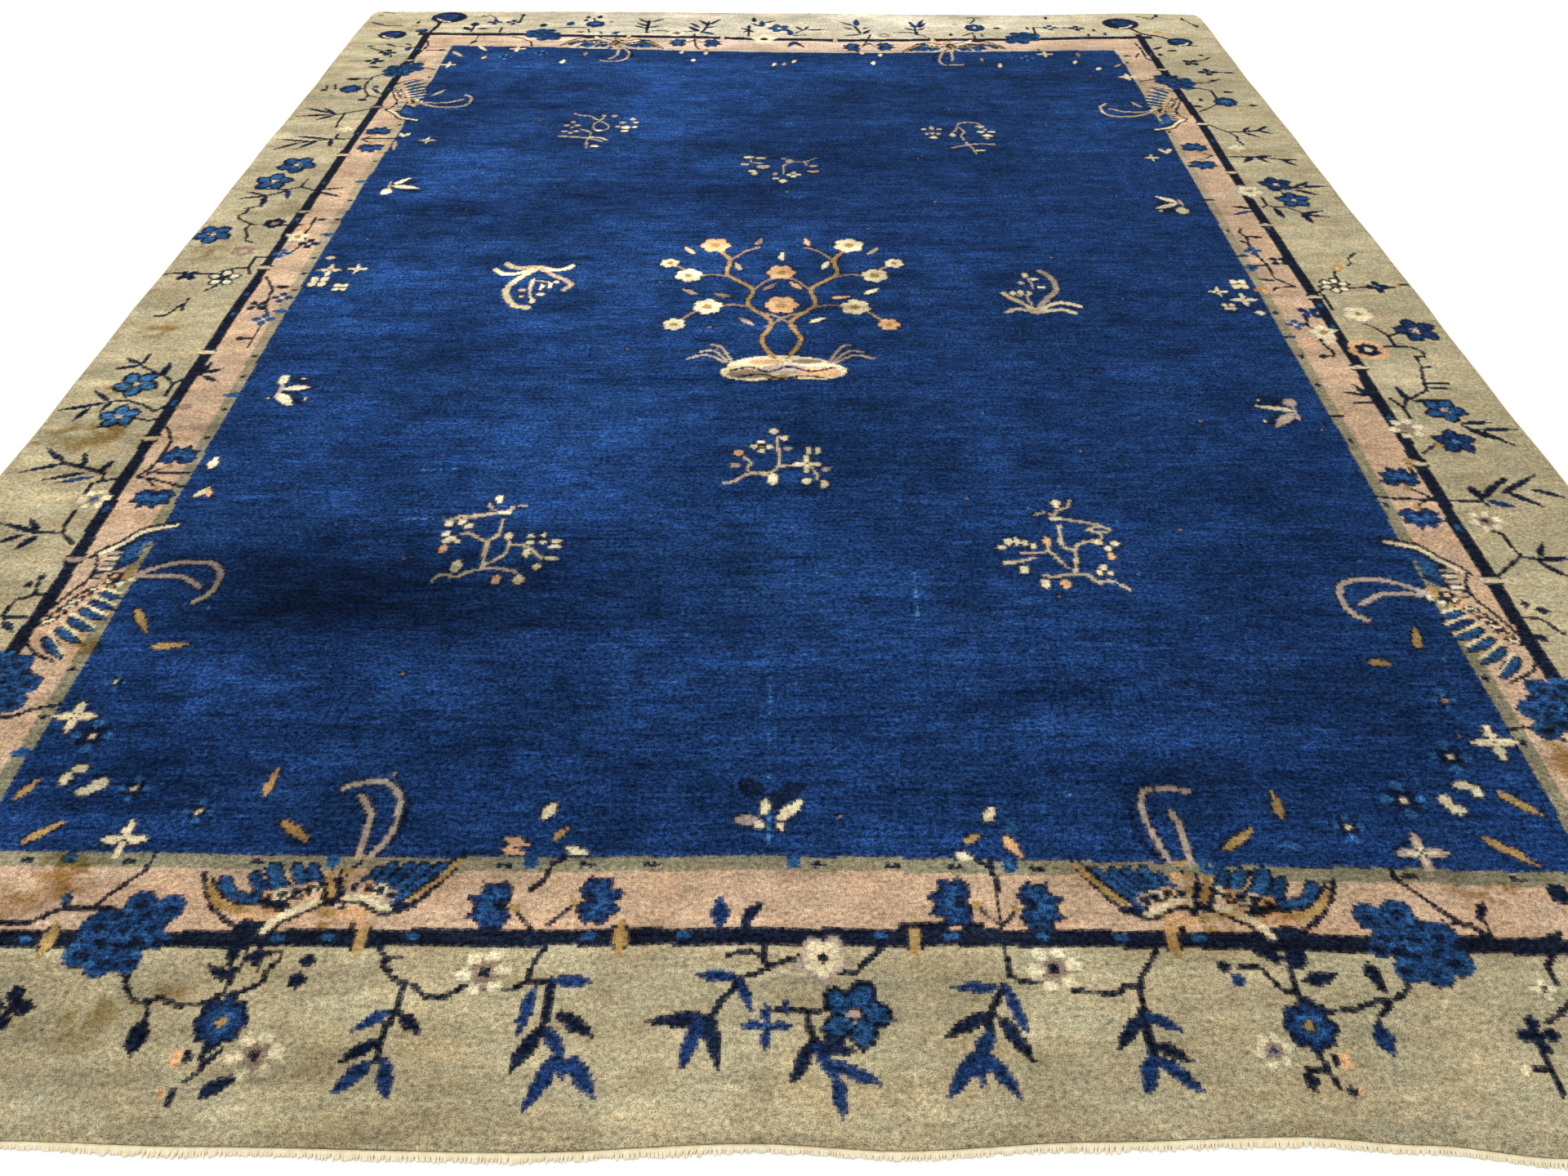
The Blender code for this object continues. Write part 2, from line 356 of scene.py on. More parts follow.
def bird(x, d, side, flip, hooked=True):
    # a long-tailed bird with open wings, as looked down on; the wing towards the middle is raised
    place = (x, d, side, flip)
    for u, v, wide, deep in [(76, 14, 70, 24), (-50, 6, 76, 24), (99, -11, 40, 15), (-74, -38, 36, 18),
                             (12, 8, 30, 44)]:
        blob(*drawn(place, u, v), wide, deep, "leafNavy")
    # hooked feathers stand apart along the upper edge, each with a dark rim
    feathers = [([(-72, -4), (-92, -2), (-111, 4), (-126, 24)], 12), ([(-66, 8), (-80, 14), (-90, 31)], 12),
                ([(-48, 8), (-60, 22), (-71, 41)], 16), ([(-26, 14), (-34, 28), (-43, 42)], 12),
                ([(-8, 16), (-15, 30), (-23, 43)], 10), ([(90, -2), (112, 18), (137, 43)], 12),
                ([(84, 6), (100, 24), (116, 44)], 11), ([(72, 12), (86, 28), (98, 46)], 11),
                ([(62, 16), (69, 30), (76, 46)], 10), ([(48, 20), (53, 28), (59, 38)], 9)]
    for k, (points, wide) in enumerate(feathers):
        curve(drawnLine(place, points), "leafNavy", wide + 7)
        curve(drawnLine(place, points), "petalBlue" if k % 3 == 1 else "midBlue", wide)
    # a row of dark cells between pale ribs
    cells = [(-65, 0, 12), (-49, 5, 13), (-33, 9, 14), (-18, 12, 13), (-7, 16, 9), (37, 14, 13),
             (55, 14, 14), (70, 10, 13),
             (84, 4, 12)]
    for k, (u, v, deep) in enumerate(cells):
        blob(*drawn(place, u, v), 18, deep + 6, ("peach", "cream", "plume")[k % 3])
    for u, v, deep in cells:
        blob(*drawn(place, u, v - 1), 12.5, deep, "navy")
    for points, yarn, wide in [
            ([(-70, -6), (-50, -12), (-33, -18)], "navy", 13),
            ([(-74, -13), (-58, -20), (-40, -24), (-26, -18)], "peach", 4.4),
            ([(-155, 33), (-142, 6), (-118, -22), (-88, -42)], "navy", 8),
            ([(-140, 18), (-126, -5), (-104, -16), (-82, -20)], "ochre", 11),
            ([(-146, 32), (-128, 8), (-108, -5), (-78, -10)], "navy", 5),
            ([(-86, -24), (-66, -29)], "peach", 6),
            ([(164, 61), (156, 44), (143, 25), (122, -1), (104, -15), (90, -21), (72, -20), (50, -8),
              (27, -6)], "navy", 6.6),
            ([(160, 54), (146, 36), (126, 13), (110, -1)], "ochre", 7),
            ([(154, 58), (140, 42), (122, 20), (104, 3)], "navy", 4.6),
            ([(30, 0), (54, 1), (67, -8), (85, -15)], "cream", 8),
            ([(4, -10), (-20, -24), (-38, -35), (-46, -47)], "navy", 5.4),
            ([(-2, -6), (-26, -17), (-44, -28), (-56, -45)], "cream", 9.5),
            ([(2, 36), (6, 18), (13, 3)], "ochre", 9),
            ([(-3, 26), (2, 10), (8, -4)], "navy", 5), ([(13, 40), (16, 22), (21, 2)], "navy", 5.4),
            ([(36, 52), (28, 44), (22, 34)], "navy", 5)]:
        curve(drawnLine(place, points), yarn, wide)
    for u, v, wide, deep, yarn in [(0, 53, 15, 26, "midBlue"), (31, 58, 20, 9, "ochre"),
                                   (24, 38, 13, 12, "ochre"),
                                   (38, 40, 15, 8, "peach"), (26, 19, 9, 14, "ochre"),
                                   (45, -22, 46, 17, "peach"),
                                   (56, -36, 34, 10, "peach"), (14, -36, 22, 9, "ochre"),
                                   (18, -22, 18, 12, "ochre"),
                                   (49, -38, 12, 12, "navy"), (30, -14, 12, 8, "navy")]:
        blob(*drawn(place, u, v), wide, deep, yarn)
    if hooked:
        tails = [[(43, 58), (55, 78), (64, 101), (64, 127), (59, 153), (42, 172), (24, 176), (-1, 174),
                  (-20, 165)],
                 [(29, 58), (29, 86), (30, 116), (20, 138), (9, 153)]]
    else:
        tails = [[(41, 58), (52, 98), (57, 126), (57, 150), (51, 168), (42, 172)],
                 [(31, 172), (10, 173), (-10, 169)],
                 [(16, 58), (16, 92), (16, 114), (22, 136)]]
    curve(drawnLine(place, [(50, 62), (66, 84), (74, 110), (72, 150)]), "shade", 9)
    for points in tails:
        curve(drawnLine(place, points), "plume", 7.5)


# Bamboo, all from the trunk's top: the trunk, then leaves as root u, root v, tip u, tip v, width, yarn.
bambooSprays = {
    "tall": ([(0, 0), (0, -32), (-8, -57), (-8, -92)],
             [(-8, -32, -43, -57, 16, "leafBlue"), (7, -37, 32, -60, 17, "leafNavy"),
              (-10, -67, -48, -92, 16, "leafNavy"),
              (-13, -92, -48, -127, 19, "leafBlue"), (0, -90, 12, -132, 18, "leafBlue")]),
    "wide": ([(0, 5), (0, -30), (-2, -60)],
             [(2, 5, 45, 3, 17, "leafBlue"), (-18, -5, -30, -62, 17, "leafBlue"),
              (12, -35, 55, -62, 19, "leafNavy"),
              (-3, -52, -30, -102, 20, "leafNavy"), (3, -52, 27, -90, 17, "leafBlue"),
              (20, -83, -8, -145, 20, "leafBlue"),
              (33, -85, 65, -131, 21, "leafBlue"), (22, -84, 29, -112, 12, "leafBlue")]),
    "full": ([(0, 0), (-15, -22), (-23, -42), (-25, -64)],
             [(-8, -3, -61, -2, 13, "leafBlue"), (0, 2, 17, -57, 15, "leafBlue"),
              (-25, -35, -74, -61, 17, "leafNavy"),
              (-10, -38, 20, -90, 18, "leafNavy"), (-24, -56, -40, -88, 19, "leafBlue"),
              (-36, -76, -78, -130, 19, "leafBlue"),
              (-39, -75, -40, -117, 15, "leafBlue"), (-31, -80, 0, -130, 18, "leafBlue")]),
    "open": ([(0, 8), (0, -20), (1, -48)],
             [(-2, 0, -37, -40, 17, "leafNavy"), (3, 1, 38, -18, 16, "leafBlue"),
              (6, -33, 40, -53, 16, "leafNavy"),
              (-4, -48, -15, -91, 19, "leafBlue"), (3, -49, 45, -88, 18, "leafBlue")]),
    "low": ([(0, 0), (-20, -22), (-31, -44)],
            [(-3, 6, -50, 9, 16, "leafBlue"), (0, 0, 15, -34, 14, "leafBlue"),
             (-30, -42, -103, -49, 17, "leafNavy"),
             (-45, -44, -60, -101, 18, "leafBlue"), (-33, -42, -21, -101, 19, "leafNavy")]),
    "slim": ([(0, 0), (0, -15), (8, -38)],
             [(2, -37, -17, -82, 18, "leafNavy"), (6, -37, 54, -48, 16, "leafNavy"),
              (7, -40, 35, -84, 15, "leafBlue"),
              (31, -76, 36, -120, 18, "leafBlue"), (26, -60, 79, -84, 16, "leafBlue")]),
}


def bamboo(x, d, side, flip, kind):
    place = (x, d, side, flip)
    trunk, leaves = bambooSprays[kind]
    stroke(drawnLine(place, trunk), "navy", 10.5)
    for u0, v0, u1, v1, wide, yarn in leaves:
        leaf(*drawn(place, u0, v0), *drawn(place, u1, v1), yarn, 1.06 * wide)


def sideBird(x, d, side, flip):
    # the bird of the long sides: an arc for its raised wing, a row of long feathers for the lowered one
    place = (x, d, side, flip)
    for u0, v0, u1, v1, wide in [(18, -12, 48, 26, 26), (40, -20, 72, 26, 28), (62, -18, 98, 34, 26),
                                 (84, -2, 120, 46, 18)]:
        leaf(*drawn(place, u0, v0), *drawn(place, u1, v1), "leafNavy", wide)
    for u0, v0, u1, v1 in [(24, 2, 42, 28), (38, -2, 58, 28), (54, -4, 76, 32), (70, -2, 96, 40),
                           (88, 8, 116, 50)]:
        leaf(*drawn(place, u0, v0), *drawn(place, u1, v1), "midBlue" if u0 % 4 else "leafBlue", 14)
    curve(drawnLine(place, [(48, -50), (66, -40), (90, -16), (118, 3), (130, 30), (138, 64)]), "navy", 6)
    curve(drawnLine(place, [(56, -38), (82, -12), (108, 6), (120, 30), (128, 58)]), "cream", 7)
    for k, u in enumerate((3, 17, 30, 43, 57)):
        stroke(drawnLine(place, [(u - 6, -24), (u - 5, -2)]), "leafNavy", 5)
        stroke(drawnLine(place, [(u, -22), (u + 2, -6)]), "cream" if k % 2 else "plume", 7)
    curve(drawnLine(place, [(58, -46), (38, -36), (18, -30), (0, -30), (-20, -34)]), "navy", 6)
    for u0, v0, u1, v1 in [(-38, -2, -50, 37), (-56, -9, -74, 39), (-74, -16, -97, 36), (-94, -24, -122, 28),
                           (-114, -32, -147, 18), (-134, -42, -178, 5)]:
        leaf(*drawn(place, u0, v0), *drawn(place, u1, v1), "leafNavy", 22)
        leaf(*drawn(place, u0 - 3, v0 + 4), *drawn(place, u1 + 3, v1 - 4), "midBlue" if u0 % 4
             else "leafBlue", 13)
        stroke(drawnLine(place, [(u0 + 12, v0 + 2), (u1 + 11, v1 - 3)]), "cream", 4.8)
    for k, (u, v) in enumerate([(-30, -14), (-42, -22), (-55, -28), (-68, -34), (-84, -42), (-100, -50)]):
        stroke(drawnLine(place, [(u - 4, v - 9), (u + 4, v + 6)]), "leafNavy", 13)
        stroke(drawnLine(place, [(u - 3, v - 6), (u + 2, v + 4)]), "peach" if k % 3 == 1 else "cream", 6)
    curve(drawnLine(place, [(-8, -32), (-44, -48), (-84, -62), (-124, -68), (-160, -50), (-184, -6)]),
          "navy", 6)
    for u, v, wide, deep, yarn in [(-8, 10, 34, 40, "leafNavy"), (2, 26, 15, 13, "ochre"),
                                   (-16, 24, 13, 12, "cream"),
                                   (6, 42, 15, 13, "plume"), (-6, -8, 13, 12, "ochre"),
                                   (-24, -2, 12, 12, "peach"),
                                   (-6, 38, 12, 12, "cream"), (-22, 12, 11, 10, "ochre"),
                                   (2, 8, 10, 10, "peach"),
                                   (14, 30, 16, 12, "ochre"), (-10, 2, 9, 9, "cream")]:
        blob(*drawn(place, u, v), wide, deep, yarn)
    curve(drawnLine(place,
                    [(10, 46), (28, 76), (37, 112), (34, 146), (20, 168), (-6, 176), (-38, 172),
                     (-56, 154)]), "plume", 9)
    curve(drawnLine(place, [(2, 50), (4, 84), (0, 116), (-12, 136), (-22, 152)]), "plume", 8)


def curledLeaf(x, d, flip, across=118):
    # a big scroll where two poles meet
    blob(x, d, across, across * 0.9, "leafNavy")
    blob(x + flip * across * 0.10, d + across * 0.02, across * 0.62, across * 0.52, "leafBlue")
    curve([(x - flip * across * 0.22, d - across * 0.20), (x + flip * across * 0.05, d - across * 0.30),
           (x + flip * across * 0.30, d - across * 0.12), (x + flip * across * 0.24, d + across * 0.14)],
           "navy", 10)
    curve([(x - flip * across * 0.10, d - across * 0.36), (x + flip * across * 0.12, d - across * 0.30),
           (x + flip * across * 0.28, d - across * 0.12)], "cream", 7)
    blob(x - flip * across * 0.16, d + across * 0.16, 18, 16, "midBlue")


def bands():
    # khaki outside, then the rose band, the guard stripe and the blue field
    guard = chartSpec["guardMm"]
    pastNear = knotD - eased(fieldNear, knotX)
    pastFar = eased(fieldFar, knotX) - knotD
    pastLeft = knotX - eased(fieldLeft, knotD)
    pastRight = eased(fieldRight, knotD) - knotX
    inField = np.minimum(np.minimum(pastNear, pastFar), np.minimum(pastLeft, pastRight))
    offPole = [knotD - eased(poleNear, knotX), eased(poleFar, knotX) - knotD,
               knotX - eased(poleLeft, knotD), eased(poleRight, knotD) - knotX]
    inPole = np.minimum(np.minimum(offPole[0], offPole[1]), np.minimum(offPole[2], offPole[3]))
    chart[:] = yarnIndex["khaki"]
    chart[inPole > 0] = yarnIndex["rose"]
    chart[inField > -guard] = yarnIndex["guard"]
    chart[inField > 0] = yarnIndex["field"]
    half = chartSpec["poleMm"] / 2
    for k, off in enumerate(offPole):
        within = np.abs(knotX) < 1165 if k < 2 else (knotD > 205) & (knotD < 3455)
        chart[(np.abs(off) < half) & within] = yarnIndex["navy"]


def poleJoints():
    # each joint lies across the pole, which flares beside it
    across = chartSpec["poleMm"] + 9
    joint = chartSpec["jointMm"]
    for line, places, yarn in [(poleNear, (-862, -492, -184, 165, 472), "ochre"),
                               (poleFar, (-493, -195, 160, 467), "straw")]:
        for x in places:
            blob(x, eased(line, x), joint * 2.4, across + 2, "navy")
            blob(x, eased(line, x), joint, across * 1.5, yarn)
    for line, places in [(poleLeft, (560, 913, 1245, 1537, 1890, 2170, 2500, 2828, 3200)),
                         (poleRight, (520, 870, 1178, 1490, 1767, 2107, 2400, 2713, 3130))]:
        for d in places:
            blob(eased(line, d), d, across + 3, joint * 2.6, "navy")
            blob(eased(line, d), d, across + 9, joint * 0.9, "taupe" if d in (913, 520, 2828) else "straw")
    for x in (-890, -590, -530, -430, -220, -110, 125, 210, 320, 410, 503):
        blob(x, eased(poleNear, x) + 2, 17, 9, "midBlue")
    for x in (-890, -560, -307, -110, 120, 293, 548, 940):
        blob(x, eased(poleFar, x), 17, 9, "midBlue")
    for d in (700, 1040, 1360, 1687, 1773, 2130, 2330, 2640, 2960, 3300):
        blob(eased(poleLeft, d), d, 9, 17, "midBlue")
        blob(eased(poleRight, d - 40), d - 40, 9, 17, "midBlue")


def guardDots():
    # the guard stripe's small marks, dark dots for the most part
    across = chartSpec["guardMm"] / 2
    for x in (-940, -810, -648, -340, -237, -157, 55, 145, 225, 327, 590, 787, 920):
        d = eased(fieldNear, x) - across
        blob(x - 5, d, 10, 10, "navy")
        blob(x + 5, d - 1, 11, 8, "navy")
    for x in (-887, -307, 23, 293, 550):
        blob(x, eased(fieldNear, x) - across + 3, 19, 20, "midBlue")
    for x in (-640, -240, 227, 785):
        blob(x, eased(fieldFar, x) + across, 10, 12, "navy")
    for d in (580, 670, 1077, 1247, 1337, 1450, 1525, 1790, 1863, 1937, 2127, 2230, 2460, 2700, 3060):
        blob(eased(fieldLeft, d) - across, d, 14, 10, "navy")
    for d in (515, 1385, 1700, 2050, 2336):
        blob(eased(fieldLeft, d) - across, d, 36, 15, "midBlue")
    for d in (540, 660, 1060, 1245, 1428, 1530, 1700, 2075, 2440, 2660, 3187):
        blob(eased(fieldRight, d) + across, d, 10, 17, "navy")
    for d in (1323, 1605, 1953, 2240):
        blob(eased(fieldRight, d) + across, d, 31, 10, "navy")
    for d in (1603, 1955):
        blob(eased(fieldRight, d) + across + 4, d, 15, 9, "midBlue")


# Stems of the border, each by its bends: x, d, x, d and so on.
borderVines = [
    # near end, from the left
    [-782, 350, -785, 327, -802, 310, -820, 287, -827, 275, -860, 275, -877, 267, -897, 252, -930, 255,
     -940, 262], [-860, 275, -862, 287, -867, 294], [-827, 275, -805, 275, -795, 267, -785, 252],
    [-752, 190, -745, 172, -732, 157, -720, 152, -700, 159, -680, 150, -650, 151, -635, 162, -615, 164,
     -592, 175, -590, 192, -580, 207, -580, 217, -600, 216], [-710, 150, -707, 128],
    [-630, 167, -627, 185, -620, 205, -622, 222], [-627, 187, -636, 202, -637, 220], [-600, 195, -608, 216],
    [-630, 95, -622, 76, -636, 62], [-622, 80, -610, 96], [-630, 97, -622, 96],
    [-465, 222, -457, 210, -440, 210],
    [-460, 206, -445, 187, -427, 177, -415, 175, -400, 162, -380, 159, -357, 174],
    [-330, 170, -300, 170, -287, 180, -282, 200, -272, 222], [-285, 179, -257, 179],
    [-262, 350, -280, 340, -285, 318, -300, 303], [-55, 215, -35, 220, -20, 216, -12, 207],
    [-14, 228, -12, 205, -5, 200, 15, 208, 33, 214], [-5, 200, -25, 190, -45, 184],
    [0, 146, 15, 145, 52, 144, 66, 156], [75, 193, 95, 193, 105, 205, 127, 226],
    [272, 350, 267, 337, 272, 320, 270, 250], [250, 348, 266, 338],
    [270, 225, 272, 190, 285, 181, 315, 181], [450, 222, 425, 190, 420, 175, 417, 150],
    [422, 177, 400, 176, 395, 168, 342, 170], [150, 253, 185, 256, 250, 254],
    [540, 200, 565, 200, 580, 175, 600, 165, 625, 147, 660, 150, 685, 160, 710, 162, 727, 175, 732, 187],
    [600, 165, 600, 200, 603, 216], [700, 155, 682, 141, 675, 125], [590, 110, 600, 95, 605, 75, 608, 62],
    [580, 80, 600, 80], [767, 337, 767, 322, 790, 295, 817, 265, 852, 243], [852, 243, 852, 272, 859, 278],
    [834, 257, 800, 260, 770, 248], [935, 247, 917, 240], [866, 134, 890, 147, 905, 160],
    [845, 96, 845, 52], [828, 80, 846, 80], [900, 180, 900, 206, 912, 214],
    # left side, from the near end
    [-1103, 610, -1093, 577, -1077, 577, -1050, 593, -1017, 603], [-1167, 860, -1160, 833, -1143, 827],
    [-1160, 827, -1183, 817, -1187, 780, -1143, 777], [-1217, 980, -1183, 977, -1153, 950],
    [-1183, 977, -1187, 997, -1187, 1037], [-1183, 1140, -1180, 1117, -1193, 1110, -1193, 1083],
    [-1180, 1117, -1150, 1127], [-1103, 1143, -1033, 1143],
    [-1137, 1287, -1120, 1270, -1103, 1237, -1103, 1185, -1110, 1150, -1123, 1130, -1090, 1123, -1033,
     1103], [-1267, 1363, -1237, 1367, -1197, 1350, -1170, 1330, -1157, 1347],
    [-1203, 1310, -1170, 1300, -1157, 1307], [-1170, 1383, -1172, 1420, -1187, 1442, -1200, 1452],
    [-1173, 1422, -1155, 1445], [-1265, 1492, -1205, 1453], [-1075, 1655, -1073, 1555],
    [-1073, 1590, -1095, 1590], [-1268, 1730, -1260, 1703],
    [-1130, 1847, -1098, 1793, -1095, 1755, -1090, 1715, -1075, 1690],
    [-1265, 1755, -1263, 1735, -1275, 1718, -1280, 1695, -1290, 1680, -1310, 1680],
    [-1225, 1810, -1243, 1785], [-1370, 1860, -1335, 1864, -1240, 1860],
    [-1240, 1872, -1210, 1886, -1183, 1887, -1170, 1862], [-1150, 1940, -1183, 1940, -1183, 1887],
    [-1110, 1965, -1100, 1995], [-1108, 2137, -1105, 2100, -1107, 2050, -1098, 2022],
    [-1250, 2100, -1120, 2099],
    [-1215, 2010, -1235, 2020, -1237, 2043, -1253, 2075, -1250, 2103, -1290, 2133, -1293, 2150, -1280,
     2168, -1284, 2188, -1265, 2200], [-1293, 2187, -1282, 2187],
    [-1303, 2295, -1220, 2291, -1193, 2307, -1157, 2287], [-1193, 2307, -1190, 2350],
    [-1220, 2290, -1237, 2270, -1263, 2257], [-1213, 2683, -1218, 2733, -1217, 2782],
    [-1153, 2813, -1203, 2788, -1240, 2770], [-1280, 2577, -1203, 2603, -1153, 2605],
    [-1193, 2633, -1193, 2612, -1180, 2604], [-1117, 2607, -1017, 2607],
    [-1183, 3087, -1210, 3060, -1217, 3000, -1207, 2953, -1187, 2913, -1150, 2897],
    [-1187, 2913, -1190, 2890], [-1235, 3042, -1212, 3045], [-1320, 2965, -1325, 2990],
    [-1293, 2960, -1305, 3000],
    [-1120, 3373, -1110, 3333, -1117, 3280, -1127, 3233, -1123, 3180, -1103, 3147, -1043, 3123],
    [-1107, 3290, -1068, 3290], [-1107, 3190, -1090, 3190], [-1317, 3193, -1262, 3193],
    [-1283, 3307, -1240, 3280], [-1205, 3250, -1200, 3228], [-1210, 3322, -1130, 3317],
    # right side
    [1013, 563, 1037, 567, 1060, 563, 1083, 543], [1137, 787, 1163, 783, 1183, 750],
    [1143, 883, 1197, 927, 1193, 983, 1170, 997], [1197, 927, 1225, 920],
    [1020, 1083, 1050, 1077, 1117, 1073], [1143, 1072, 1197, 1070, 1203, 1057], [1187, 1237, 1150, 1207],
    [1110, 1150, 1110, 1177, 1127, 1187, 1143, 1183], [1170, 1317, 1170, 1350, 1157, 1383],
    [1170, 1350, 1183, 1373, 1237, 1410, 1243, 1440],
    [1243, 1440, 1255, 1480, 1260, 1492, 1262, 1530, 1280, 1530, 1283, 1547, 1270, 1565, 1237, 1570, 1237,
     1610, 1223, 1640, 1205, 1657], [1240, 1610, 1262, 1621], [1237, 1570, 1212, 1570],
    [1262, 1490, 1276, 1493], [1100, 1530, 1105, 1545, 1093, 1580, 1095, 1620, 1087, 1650, 1092, 1680],
    [1165, 1800, 1157, 1790, 1162, 1760, 1160, 1715], [1162, 1812, 1176, 1815], [1232, 1808, 1268, 1811],
    [1312, 1813, 1325, 1808, 1337, 1820, 1370, 1824], [1213, 1848, 1217, 1872, 1222, 1884],
    [1258, 1905, 1270, 1920, 1270, 1940, 1293, 1965], [1110, 1813, 1078, 1850, 1080, 1910, 1070, 1958],
    [1105, 1812, 1070, 1808, 1060, 1796], [1080, 1910, 1045, 1905],
    [1067, 2000, 1072, 2043, 1063, 2067, 1070, 2087], [1072, 2043, 1085, 2047], [1053, 2025, 1066, 2015],
    [1155, 2200, 1170, 2213, 1168, 2257], [1170, 2213, 1183, 2202, 1215, 2200, 1243, 2170],
    [1226, 2300, 1226, 2262], [1262, 2306, 1303, 2312, 1340, 2318],
    [1160, 2707, 1177, 2680, 1197, 2657, 1237, 2659, 1280, 2668],
    [1197, 2657, 1213, 2627, 1207, 2600, 1215, 2573], [1150, 2495, 1217, 2497, 1290, 2478],
    [1157, 2800, 1197, 2833, 1217, 2853, 1222, 2862], [1231, 2903, 1230, 2960, 1197, 2980, 1163, 2967],
    [1200, 3020, 1237, 3020, 1262, 3036], [1117, 3087, 1100, 3053, 1043, 3033],
    [1097, 3360, 1106, 3300, 1102, 3227, 1115, 3205], [1090, 3267, 1073, 3233],
    [1250, 3200, 1280, 3215, 1297, 3233], [1285, 3107, 1305, 3104],
    # far end
    [-860, 3560, -860, 3615], [-943, 3567, -947, 3600, -977, 3630], [-1003, 3460, -1000, 3520],
    [-910, 3455, -910, 3505], [-858, 3412, -820, 3392, -795, 3367, -785, 3328], [-970, 3425, -970, 3372],
    [-723, 3493, -703, 3503, -637, 3503], [-630, 3487, -622, 3455], [-590, 3467, -580, 3440],
    [-535, 3440, -533, 3393], [-623, 3593, -617, 3560], [-420, 3470, -385, 3475, -372, 3462],
    [-318, 3462, -290, 3468], [-285, 3440, -283, 3390, -275, 3330, -262, 3300], [-113, 3423, -113, 3500],
    [33, 3447, 63, 3483], [27, 3428, 70, 3430], [273, 3437, 260, 3373, 243, 3327],
    [350, 3457, 400, 3460, 440, 3427, 460, 3400], [567, 3427, 600, 3455, 603, 3380],
    [603, 3547, 620, 3580, 617, 3600], [597, 3601, 643, 3602], [-1330, 3655, -1290, 3640],
    [-1235, 3520, -1290, 3520, -1340, 3550], [1160, 3620, 1200, 3590, 1222, 3625], [1300, 3590, 1330, 3520],
    [800, 3440, 800, 3505, 920, 3505],
]

